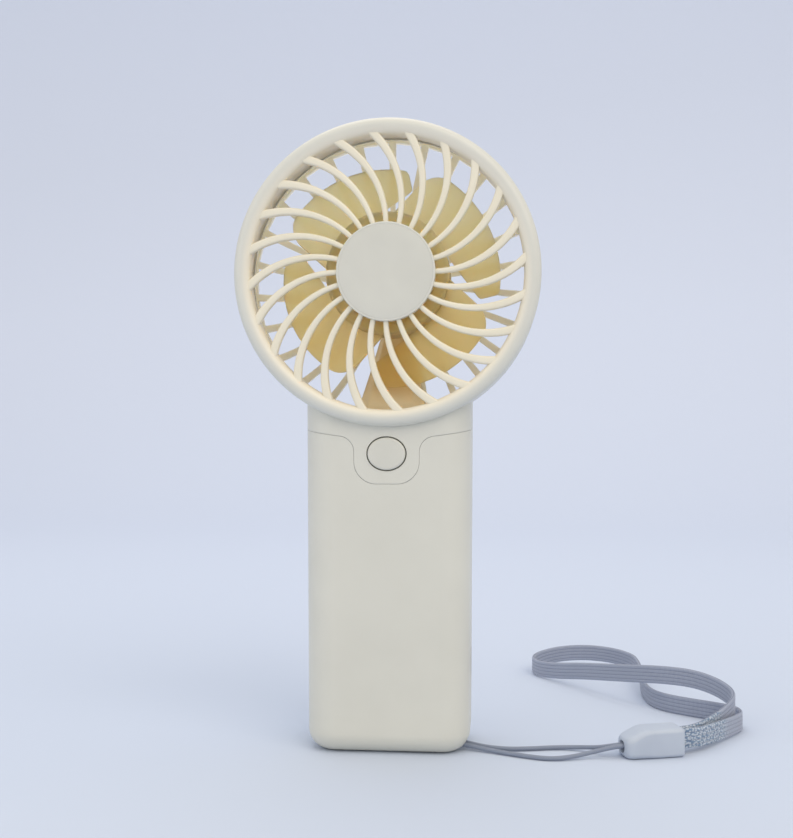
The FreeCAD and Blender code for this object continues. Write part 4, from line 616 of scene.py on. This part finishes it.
grille = {
    "ringRadius": 41.2,
    "innerRadius": 39.4,
    "beadHalf": 2.28,       # rounded bead along the front of the ring
    "frontFace": -17.0,
    "beadBack": -12.0,
    "lipRound": 0.4,        # inner edges of the bead's back and of the wall behind it
    "stepRound": 0.5,
    "middle": -6.0,
    "edge": 0.12,
    "hubRadius": 13.25,
    "hubBack": -14.0,
    "hubRound": (0.2, 0.3),  # its edges behind and in front
    "capRadius": 12.65,
    "capSeat": -15.8,
    "capGap": 0.015,
    "capRound": 0.1,
    "capCrown": 0.02,       # the cap's edge lies this far back from its middle
    "ribs": 24,
    "ribBend": 25.4,        # plan radius of a rib's curve
    "ribRoot": 1.35,
    "ribTip": 2.3,
    "ribFront": -16.2,
    "ribBack": -14.0,
    "ribSoft": 0.6,
}


def makeRing():
    # the ring's section, a bead on a thin wall, carried round the fan axis
    outer, inner, middle, edge = grille["ringRadius"], grille["innerRadius"], grille["middle"], grille["edge"]
    half, front, back = grille["beadHalf"], grille["frontFace"], grille["beadBack"]
    lip, lipRound, stepRound = outer - 2 * half, grille["lipRound"], grille["stepRound"]
    profile = np.vstack([
        [(partingLine - edge, outer), (middle, outer), (back + 1, outer)],
        arc((front + half, outer - half), half, 90, 270, 25), [(back - 0.5, lip)],
        arc((back - lipRound, lip + lipRound), lipRound, 290, 360, 4), [(back, inner - 0.8)],
        arc((back + stepRound, inner - stepRound), stepRound, 170, 90, 4), [(middle, inner)],
        [(partingLine - 0.1, inner), (partingLine, inner + 0.1), (partingLine, outer - edge)]])
    rows = turned(profile, 192)
    piece = gridPiece("grille_ring", [rows], around=True, along=True)
    # painted warm light on the bead's inner half and the wall's whole inside
    depth, radius = rows[..., 1], np.hypot(rows[..., 0], rows[..., 2] - axisHeight)
    onBead = smooth((outer - half + 0.4 - radius) / half)
    onWall = (depth > back - 0.6) & (radius < outer - 0.9)
    floatAttribute(piece, "paintedWarmLight", np.maximum(onBead, onWall))
    finishPiece(sharpen(piece, 50), ringAbs, "front_cover")


def makeHub():
    # the boss with a shallow seat in its front, and the cap that lies in the seat with a faint crown
    front, back, radius, seat = grille["frontFace"], grille["hubBack"], grille["hubRadius"], grille["capSeat"]
    rear, fore = grille["hubRound"]
    cap, soft, crown = grille["capRadius"], grille["capRound"], grille["capCrown"]
    mouth = cap + grille["capGap"]
    boss = np.vstack([
        [(back, 0.0), (back, 7.0), (back, radius - rear)], arc((back - rear, radius - rear), rear, 0, 90, 4),
        arc((front + fore, radius - fore), fore, 90, 180, 6),
        [(front + 0.05, mouth), (seat, mouth), (seat, 0.0)]])
    piece = gridPiece("grille_hub", [turned(boss, 144)], along=True, weld=True)
    finishPiece(sharpen(piece), mouldedAbs, "front_cover")
    disc = np.vstack([
        [(seat - 0.1, 0.0), (seat - 0.1, cap - 0.05), (seat - 0.8, cap)],
        arc((front + crown + soft, cap - soft), soft, 90, 180, 5),
        [(front + 0.015, 9.0), (front, 5.0), (front, 0.0)]])
    piece = gridPiece("grille_cap", [turned(disc, 144)], along=True, weld=True)
    finishPiece(sharpen(piece), mattAbs, "centre_cap")


def makeRibs():
    # each rib's soft rectangle follows a circle that leaves the hub straight outwards and bends away;
    # the rib widens along it, and all ribs are one turned about the fan axis
    bend, start = grille["ribBend"], grille["hubRadius"] - 0.5
    reach = grille["ringRadius"] - 2 * grille["beadHalf"] + 1
    along, aside = 2 * start * bend, 2 * bend * bend
    sweep = np.arctan2(aside, along) + np.arcsin((reach ** 2 - start ** 2 - aside) / np.hypot(along, aside))
    share = np.linspace(0, 1, 40)[:, None]
    soft, middle = grille["ribSoft"], (grille["ribFront"] + grille["ribBack"]) / 2
    deep = (grille["ribBack"] - grille["ribFront"]) / 2
    steps = 24
    angle = (np.arange(steps) + 0.5) / steps * 2 * np.pi
    half = (grille["ribRoot"] + share * (grille["ribTip"] - grille["ribRoot"])) / 2
    corner = np.minimum(soft, half * 0.92)
    depth = middle + np.sign(np.sin(angle)) * (deep - soft) + soft * np.sin(angle) + 0 * share
    radius = bend + np.sign(np.cos(angle)) * (half - corner) + corner * np.cos(angle)
    x = start + radius * np.sin(sweep * share)
    z = bend - radius * np.cos(sweep * share)
    turn = (np.arange(grille["ribs"]) / grille["ribs"] * 2 * np.pi)[:, None, None]
    grids = np.stack([x * np.cos(turn) - z * np.sin(turn), depth + 0 * turn,
                      axisHeight + x * np.sin(turn) + z * np.cos(turn)], -1)
    piece = gridPiece("grille_ribs", list(grids), around=True, capped=True)
    finishPiece(sharpen(piece, 60), ribAbs, "front_cover")


duct = {
    "half": 14.9,           # degrees either side of straight down
    "inner": 13.95,         # from the motor cup to the ring band
    "outer": 38.8,
    "wall": 0.7,
    "dome": (14.2, 3.9),    # depth of the rear dome's inside at those two radii, and its bulge between them
    "bulge": 4.0,
    "gap": 1.6,
    "lift": 3.0,            # how far it stands forward between its leaning sides
    "lean": 0.35,           # share of its half width over which a side leans
    "foremost": 1.2,
}


def makeDuct():
    # a shallow tray over the motor's wires: it follows the dome, and its two sides lean back to the grille
    across = np.linspace(-1, 1, 33)[None]
    out = np.linspace(0, 1, 30)[:, None]
    radius = duct["inner"] + (duct["outer"] - duct["inner"]) * out
    angle = np.radians(duct["half"]) * across - np.pi / 2
    near, far = duct["dome"]
    dome = near - (near - far) * out + duct["bulge"] * out * (1 - out)
    lift = duct["lift"] * smooth((1 - np.abs(across)) / duct["lean"])
    depth = np.maximum(dome - duct["gap"] - lift, duct["foremost"])
    piece = gridPiece("wire_duct", [aroundAxis(radius, angle, depth)])
    turnForward(piece)
    addWall(piece, duct["wall"])
    # the tray's amber colour is painted light from the tinted blades
    finishPiece(piece, ductAbs)


makeRing()
makeHub()
makeRibs()
makeDuct()
print("front grille made")

handle = {
    "baseHalf": 22.1,
    "neckHalf": 22.65,
    "neckTop": 104.6,
    "neckMiddle": 92.5,
    "halfDepth": 14.0,
    "corner": 8.0,
    "baseRound": 5.5,
    "wall": 1.8,
    "seamSide": 87.8,       # seam height at the handle's sides
    "shoulder": 85.0,
    "tabHalf": 8.8,         # the tab that hangs from the seam round the button
    "tabDrop": 12.3,
    "tabCorner": 6.0,
    "tabFlare": 4.2,
    "edge": 0.12,
    "portHeight": 22.0,     # charging port: slot middle, and its half depth and half height
    "portHalf": (1.85, 4.72),
    "slotMiddle": (-4.7, 2.5),  # lanyard slot: depth and height of its middle
    "slotHalf": (3.5, 1.5),
    "slotEnd": 16.2,
    "slotCut": (14, 26),    # from inside the shell to beyond its side
    "pocketGrow": (1.25, 1.3),  # the pocket's outside over the slot's outline, in depth and in height
    "pocketLift": 0.1,
    "pocketLevels": (0.6, 5.0),  # its outside stays between these heights
    "barAt": 18.6,
    # distances from the bar's middle, and its radius there
    "barFlare": [(1.6, 1.2), (1.48, 0.95), (1.3, 0.78), (1.0, 0.7)],
}
button = {
    "height": 80.8,
    "half": (5.1, 4.35),
    "gap": 0.3,
    "stemHalf": 1.6,
    "stemEnd": -6.0,
    "flange": (-11.0, -12.0),
    "flangeReach": 1.0,
    "edge": 0.1,
    "side": -13.9,
    "rimStart": -14.02,
    "rim": 0.55,
    "crown": 0.12,
}


def handleHalf(level):
    return handle["baseHalf"] + (handle["neckHalf"] - handle["baseHalf"]) * level / handle["neckTop"]


def frontReach(level):
    # unrolled distance from the middle of the front face to the parting line
    return handleHalf(level) - handle["corner"] + handle["corner"] * np.pi / 2 + (
        handle["halfDepth"] - handle["corner"] + partingLine)


def cornerAt(level):
    # the radius of the handle's upright corners, which the circle under the base shrinks, and how far
    # that circle has dipped, as a share of its radius
    soft = handle["baseRound"]
    low = np.clip(soft - level, 0, soft)
    return handle["corner"] - soft + np.sqrt(soft ** 2 - low ** 2), low / soft


def wrapFront(across, level):
    # unrolled (across, level) points laid on the handle's front: flat face, round corner, then flat side.
    # with them come the surface's outward directions
    across, level = np.broadcast_arrays(np.asarray(across, float), np.asarray(level, float))
    corner = handle["corner"]
    radius, dip = cornerAt(level)
    flat = handleHalf(level) - corner
    side, away = np.sign(across), np.abs(across)
    bent = np.clip((away - flat) / corner, 0, np.pi / 2)
    down = np.clip(away - flat - corner * np.pi / 2, 0, None)
    skin = np.stack([side * (np.minimum(away, flat) + radius * np.sin(bent)),
                     corner - handle["halfDepth"] - radius * np.cos(bent) + down, level], -1)
    upright = np.sqrt(1 - dip ** 2)
    return skin, np.stack([side * np.sin(bent) * upright, -np.cos(bent) * upright, -dip], -1)


def roundedLine(corners, step=0.4):
    # a chain of straight runs whose (x, z, radius) corners are rounded by circles touching both runs
    points = [np.array(corners[0][:2], float)[None]]
    for before, here, after in zip(corners, corners[1:], corners[2:]):
        p, q, r = (np.array(c[:2], float) for c in (before, here, after))
        a, b = (p - q) / np.linalg.norm(p - q), (r - q) / np.linalg.norm(r - q)
        half = np.arccos(np.clip(a @ b, -1, 1)) / 2
        reach = here[2] / np.tan(half)
        centre = q + (a + b) / np.linalg.norm(a + b) * here[2] / np.sin(half)
        first, last = q + a * reach - centre, q + b * reach - centre
        share = np.linspace(0, 1, 13)[:, None]
        sweep = np.pi - 2 * half
        swept = np.sin((1 - share) * sweep) * first + np.sin(share * sweep) * last
        points.append(centre + swept / np.sin(sweep))
    points.append(np.array(corners[-1][:2], float)[None])
    line = np.vstack(points)
    travel = travelled(line)
    even = np.linspace(0, travel[-1], int(travel[-1] / step) + 1)
    return np.stack([np.interp(even, travel, line[:, 0]), np.interp(even, travel, line[:, 1])], -1)


def seamRun(drop):
    # the seam in the unrolled front, from the left parting line over the tab to the right one
    half, shoulder = handle["tabHalf"], handle["shoulder"]
    slope = (handle["seamSide"] - shoulder) / (handle["neckHalf"] - half)
    reach = float(frontReach(handle["seamSide"]))
    edge = shoulder + slope * (reach - half) * 0.66  # the seam runs level round the corner
    run = [(half + drop, shoulder - handle["tabDrop"] - drop, handle["tabCorner"]),
           (half + drop, shoulder - drop, handle["tabFlare"]), (reach, edge - drop)]
    return roundedLine([(-x, *rest) for x, *rest in run[::-1]] + run)


def walled(outer, inner):
    # the outer skin, the inner one, and a strip between them along each of the four borders
    return [outer, inner, np.stack([outer[0], inner[0]]), np.stack([outer[-1], inner[-1]]),
            np.stack([outer[:, 0], inner[:, 0]]), np.stack([outer[:, -1], inner[:, -1]])]


def cutThrough(piece, loop, near, far):
    # takes a prism along X with this (depth, height) outline out of the piece
    ends = [np.column_stack([np.full(len(loop), x), loop]) for x in (near, far)]
    cutter = gridPiece("cutter", [np.stack(ends)], around=True, capped=True)
    hole = piece.modifiers.new("hole", "BOOLEAN")
    hole.operation, hole.object, hole.solver = "DIFFERENCE", cutter, "EXACT"
    return cutter


def slotLoop(grow=0.0, corner=0.4):
    # outline of the lanyard slot
    half, tall = handle["slotHalf"]
    return softLoop(half + grow, tall + grow, corner + grow, 48) + np.array(handle["slotMiddle"])


def portDip(level):
    # how far the parting edge dips round the charging port at a height: level, with a half circle at each end
    half, tall = handle["portHalf"]
    bend = np.clip(np.abs(level - handle["portHeight"]) - tall + half, 0, half)
    return np.sqrt(half ** 2 - bend ** 2)


def makeHandleFront():
    # below the seam: lines fan out from the seam to even spacing, run down, turn under the base and meet
    # the parting line, which dips round the port
    seam = seamRun(seamLine)
    spread = 56.0
    share = np.linspace(0, 1, 22)[:, None, None]
    share = 0.6 * smooth(share) + 0.4 * share
    even = np.linspace(-1, 1, len(seam)) * frontReach(spread)
    upper = seam[None] * (1 - share) + np.stack([even, np.full(len(seam), spread)], -1)[None] * share
    half, tall = handle["portHalf"]
    end = tall - half + half * np.sin(np.radians(np.linspace(90, 0, 9)))
    straight = np.linspace(tall - half, half - tall, 8)[1:-1]
    port = handle["portHeight"] + np.concatenate([end, straight, -end[::-1]])
    bottom = handle["baseRound"] * (1 - np.sin(np.radians(np.linspace(0, 90, 14)[1:])))
    level = np.concatenate([np.linspace(spread, port[0], 15)[1:-1], port,
                            np.linspace(port[-1], handle["baseRound"], 7)[1:], bottom])
    reach = frontReach(level)[:, None]
    share = np.linspace(0, 1, len(seam))[None]
    across = share * (2 * reach - portDip(level)[:, None]) - reach
    flat = np.vstack([upper, np.stack(np.broadcast_arrays(across, level[:, None]), -1)])
    skin, normal = wrapFront(flat[..., 0], flat[..., 1])
    under = skin[-1].copy()
    under[:, 1] = partingLine
    share = np.linspace(0, 1, 6)[1:, None, None]
    skin = np.vstack([skin, skin[-1][None] * (1 - share) + under[None] * share])
    normal = np.vstack([normal, np.broadcast_to([0.0, 0.0, -1.0], (len(share), *under.shape))])
    piece = gridPiece("handle_front", walled(skin, skin - handle["wall"] * normal), weld=True)
    addBevel(piece, handle["edge"])
    cutter = cutThrough(piece, slotLoop(0.05), *handle["slotCut"])
    bake(piece)
    bpy.data.objects.remove(cutter)
    finishPiece(sharpen(piece), mouldedAbs, "handle_front_cover")


def sideReach(depth, level):
    # x of the handle's right side, round its upright corner
    fore = np.clip(handle["corner"] - handle["halfDepth"] - depth, 0, None)
    radius, _ = cornerAt(level)
    return handleHalf(level) - handle["corner"] + np.sqrt(np.maximum(radius ** 2 - fore ** 2, 0))


def makeLanyardEye():
    # a pocket behind the slot, from its outer back over the mouth to its inner back, and the bar in it.
    # the pocket's outside is the slot's outline, grown about its middle and kept above the base
    depth, level = handle["slotMiddle"]
    y, z = slotLoop().T
    deeper, taller = handle["pocketGrow"]
    grown = np.stack([(y - depth) * deeper + depth,
                      np.clip((z - level) * taller + level + handle["pocketLift"], *handle["pocketLevels"])])
    floor = np.full(len(y), handle["slotEnd"])
    mouth = sideReach(y, z)
    rows = [np.stack(row, -1) for row in (
        (floor - 1.0, *grown), (sideReach(*grown) - 0.8, *grown), (mouth - 0.02, y, z), (mouth - 0.6, y, z),
        (floor + 0.3, y, z))]
    flare = np.array(handle["barFlare"])
    reach, radius = np.hsplit(np.vstack([flare * [-1, 1], flare[::-1]]), 2)
    turn = np.linspace(0, 2 * np.pi, len(y), endpoint=False)[None]
    bar = np.stack([handle["barAt"] + radius * np.cos(turn), depth + radius * np.sin(turn),
                    level + reach + 0 * turn], -1)
    piece = gridPiece("lanyard_eye", [np.stack(rows), bar], around=True, capped=True)
    finishPiece(sharpen(piece), mouldedAbs)


def neckCeiling(across):
    # where the neck meets the ring: its circle, a little inside the ring's wall
    x = wrapFront(across, handle["neckMiddle"])[0][..., 0]
    return axisHeight - np.sqrt((grille["ringRadius"] - 0.5) ** 2 - x ** 2)


def makeNeck():
    # above the seam: one patch around the button hole and one towards each side, joined along upright cuts
    seam = seamRun(0)
    hole = np.array(button["half"]) + button["gap"]
    cutAt = 10.4
    first = int(np.argmin(np.hypot(seam[:, 0] + cutAt, seam[:, 1] - handle["shoulder"] + 1)))
    last = len(seam) - 1 - first
    inner = seam[first:last + 1]
    share = np.linspace(0, 1, 12)
    ceiling = float(neckCeiling(inner[0, 0]))
    left, right = (np.stack([x + 0 * share, z + share * (ceiling - z)], -1) for x, z in inner[[0, -1]])
    across = np.linspace(inner[-1, 0], inner[0, 0], 46)
    top = np.stack([across, neckCeiling(across)], -1)
    loop = np.vstack([inner, right[1:], top[1:], left[::-1][1:-1]])
    centre = np.array([0, button["height"]])
    angle = np.arctan2((loop - centre)[:, 1] / hole[1], (loop - centre)[:, 0] / hole[0])
    oval = centre + hole * np.stack([np.cos(angle), np.sin(angle)], -1)
    blend = (np.linspace(0, 1, 14) ** 1.3)[:, None, None]
    middle = oval[None] * (1 - blend) + loop[None] * blend
    grids = [np.concatenate([middle, middle[:, :1]], 1)]
    for line in (seam[:first + 1], seam[last:]):
        roof = np.stack([line[:, 0], neckCeiling(line[:, 0])], -1)
        lift = share[:, None, None]
        grids.append(line[None] * (1 - lift) + roof[None] * lift)
    piece = gridPiece("neck_front", [wrapFront(g[..., 0], g[..., 1])[0] for g in grids], weld=True)
    turnForward(piece)
    addWall(piece, handle["wall"])
    addBevel(piece, handle["edge"])
    finishPiece(piece, mouldedAbs, "front_cover")


def makeButton():
    # ovals from the stem's end, over the flange and the round rim, to the slightly crowned face
    wide, tall = button["half"]
    stem, reach, rim, edge = button["stemHalf"], button["flangeReach"], button["rim"], button["edge"]
    back, front = button["flange"]
    rows = [(stem, stem, button["stemEnd"]), (stem, stem, back + edge), (wide + reach, tall + reach, back),
            (wide + reach, tall + reach, front), (wide, tall, front - edge), (wide, tall, button["side"])]
    for turn in np.radians(np.linspace(0, 90, 8)):
        inset = rim * (1 - np.cos(turn))
        rows.append((wide - inset, tall - inset, button["rimStart"] - rim * np.sin(turn)))
    for share in (0.85, 0.65, 0.4, 0.15):
        rows.append(((wide - rim) * share, (tall - rim) * share,
                     button["rimStart"] - rim - button["crown"] * (1 - share ** 2)))
    rows = np.array(rows)[:, :, None]
    angle = np.linspace(0, 2 * np.pi, 96, endpoint=False)[None]
    grid = np.stack([rows[:, 0] * np.cos(angle), rows[:, 2] + 0 * angle,
                     button["height"] + rows[:, 1] * np.sin(angle)], -1)
    piece = gridPiece("power_key", [grid], around=True, capped=True)
    finishPiece(sharpen(piece), mattAbs, "power_button", body="power_button")


makeHandleFront()
makeLanyardEye()
makeNeck()
makeButton()
print("handle shells made")

wheel = {
    "blades": 4,
    "tip": 30.4,
    "root": 16.1,
    "span": 75.9,           # degrees of one blade along its tip
    "rearLean": 40.0,       # degrees between the tip and the root of the clockwise edge, and of the other one
    "frontLean": 19.2,
    "blunt": (5.1, 4.5),    # shoulder of the clockwise corner: below the tip, and degrees past it
    "bluntRound": 1.2,
    "rearEdge": 0.4,
    "rise": 11.0,
    "thickness": 1.2,
    "place": 81.3,          # clockwise tip corner of the first blade
    "softCorner": 5.0,
    "hubRadius": 16.7,
    "edge": 0.4,
    "hubFront": -12.8,
    "hubBack": 1.2,
    "hubWall": 1.2,
    "hubFace": 1.4,         # thickness of its front
    "hubRound": (1.0, 0.6),  # corner between front and side, outside and inside
    "hubLip": 0.2,
    "hubMiddle": -6.0,
    "bore": 1.1,
    "boss": 3.2,
}


def edgeAngle(radius, corners):
    # angle at a radius along straight runs through these (radius, degrees) corners, the middle one rounded
    line = roundedLine([(r * np.cos(np.radians(a)), r * np.sin(np.radians(a)), wheel["bluntRound"])
                        for r, a in corners], 0.2)
    return np.interp(radius, np.hypot(*line.T)[::-1], np.arctan2(line[:, 1], line[:, 0])[::-1])


def pressed(toEdge, toTip, soft):
    # the square at a corner sent to a quarter circle
    p, q = np.clip((soft - toEdge) / soft, 0, 1), np.clip((soft - toTip) / soft, 0, 1)
    near = (p > 0) & (q > 0)
    return (np.where(near, soft * (1 - p * np.sqrt(1 - q * q / 2)), toEdge),
            np.where(near, soft * (1 - q * np.sqrt(1 - p * p / 2)), toTip))


def makeBlades():
    # a helical sheet between a forward edge and a clockwise one with a blunt corner,
    # and both of its corners at the tip are pressed round
    span = np.radians(wheel["span"])
    whole = span + np.radians(wheel["frontLean"])
    out = np.concatenate([np.linspace(0, 0.88, 20), np.linspace(0.89, 1, 9)])[:, None]
    over = np.concatenate([np.linspace(0, 0.05, 9), np.linspace(0.06, 1, 54)])[None]
    deep, wide = wheel["tip"] - wheel["root"], wheel["tip"] * span
    toTip, toEnd, toStart = (1 - out) * deep + 0 * over, (1 - over) * wide + 0 * out, over * wide + 0 * out
    toEnd, toTip = pressed(toEnd, toTip, wheel["softCorner"])
    toStart, toTip = pressed(toStart, toTip, wheel["bluntRound"])
    share = np.where(over < 0.5, toStart, wide - toEnd) / wide
    radius = wheel["tip"] - toTip
    down, past = wheel["blunt"]
    tip, root = wheel["tip"], wheel["root"]
    begin = edgeAngle(radius, [(tip, 0), (tip - down, -past), (root, wheel["rearLean"])])
    finish = edgeAngle(radius, [(tip, wheel["span"]), (root, wheel["span"] + wheel["frontLean"])])
    angle = begin + share * (finish - begin)
    depth = wheel["rearEdge"] - wheel["rise"] * angle / whole + wheel["thickness"] / 2
    turn = np.radians(wheel["place"]) + np.arange(wheel["blades"]) * 2 * np.pi / wheel["blades"]
    turn = turn[:, None, None]
    piece = gridPiece("fan_blades", list(aroundAxis(radius, angle + turn, depth)))
    addWall(piece, wheel["thickness"], 0)
    addBevel(piece, wheel["edge"], 3)
    finishPiece(piece, bladeAmber, "impeller", body="impeller", slot="amber_blades")


def makeWheelHub():
    # a cup, open at the back, whose middle has a boss for the shaft
    front, back, outer, middle = wheel["hubFront"], wheel["hubBack"], wheel["hubRadius"], wheel["hubMiddle"]
    inner, bore, boss = outer - wheel["hubWall"], wheel["bore"], wheel["boss"]
    face, (soft, fillet), lip = front + wheel["hubFace"], wheel["hubRound"], wheel["hubLip"]
    profile = np.vstack([
        [(front, bore), (front, 6.0), (front, outer - soft)],
        arc((front + soft, outer - soft), soft, 180, 90, 8),
        [(middle, outer), (back - lip, outer), (back, outer - lip), (back, inner + lip), (back - lip, inner),
         (middle, inner), (face + fillet, inner), (face, inner - fillet), (face, boss + 0.8),
         (face + 0.4, boss), (0.0, boss), (0.1, boss - 0.2), (0.1, bore)]])
    piece = gridPiece("fan_hub", [turned(profile, 128)], along=True)
    finishPiece(sharpen(piece), bladeAmber, "impeller", body="impeller", slot="amber_blades")


makeBlades()
makeWheelHub()
print("fan wheel made")

studio = {
    # the paper's colour at the floor and at the wall; the lighter wall is painted light
    "floor": "#c9d2e2",
    "wall": "#dee6f8",
    "worldColour": "#f4f0e9",
    "worldStrength": 0.92,
    "key": {"place": (0.55, -0.75, 0.95), "size": 0.9, "power": 5.0, "colour": "#fff6ea"},
    "top": {"place": (-0.1, 0.25, 0.9), "size": 0.7, "power": 2.0, "colour": "#ffffff"},
    "fill": {"place": (-0.8, -0.6, 0.5), "size": 1.0, "power": 1.4, "colour": "#eef2ff"},
    "aim": (0.02, 0, 0.09),
    "bendFrom": 0.6,        # depth at which the floor starts to curve up
    "bendRadius": 0.9,
    "wallTop": 4.0,
}


def makeFloor():
    # level floor that curves up into a wall by a quarter circle, in metres
    bend, start, radius = np.radians(np.linspace(6, 90, 15)), studio["bendFrom"], studio["bendRadius"]
    depth = np.concatenate([[-6, -2.0, 0.0, start], start + radius * np.sin(bend), [start + radius]])
    height = np.concatenate([[0, 0, 0, 0], radius * (1 - np.cos(bend)), [studio["wallTop"]]])
    x = np.linspace(-6, 6, 13)
    grid = np.stack(np.broadcast_arrays(x[None], depth[:, None], height[:, None] - 0.00005), -1) / mm
    floor = gridPiece("floor", [grid])
    material, tree, shader = newMaterial("studio_paper", {"Roughness": 0.9, "Specular IOR Level": 0.1})
    place = addNode(tree, "TexCoord").outputs["Object"]
    spot = addNode(tree, "SeparateXYZ", {}, {"Vector": place})
    # painted light: the paper lightens from the floor's colour to the wall's going back
    away = addNode(tree, "MapRange", {"From Min": 0.0, "From Max": 1.2}, {"Value": spot.outputs["Y"]})
    tint = addNode(tree, "Mix", {
        "data_type": "RGBA", mixFrom: linearColour(studio["floor"]), mixTo: linearColour(studio["wall"])},
        {mixShare: away.outputs["Result"]})
    plug(tree, shader, {"Base Color": tint.outputs[mixResult]})
    floor.data.materials.append(material)


def makeLight(name, look):
    data = bpy.data.lights.new(name, "AREA")
    data.size = look["size"]
    data.energy = look["power"]
    data.color = linearColour(look["colour"])[:3]
    putInScene(name, data, look["place"], Vector(studio["aim"]) - Vector(look["place"]))


def makeWorld():
    world = bpy.data.worlds.new("studio")
    world.use_nodes = True
    sky = world.node_tree.nodes["Background"]
    sky.inputs["Color"].default_value = linearColour(studio["worldColour"])
    sky.inputs["Strength"].default_value = studio["worldStrength"]
    bpy.context.scene.world = world


makeFloor()
makeWorld()
for lampName in ("key", "top", "fill"):
    makeLight(lampName, studio[lampName])
print("studio lit")
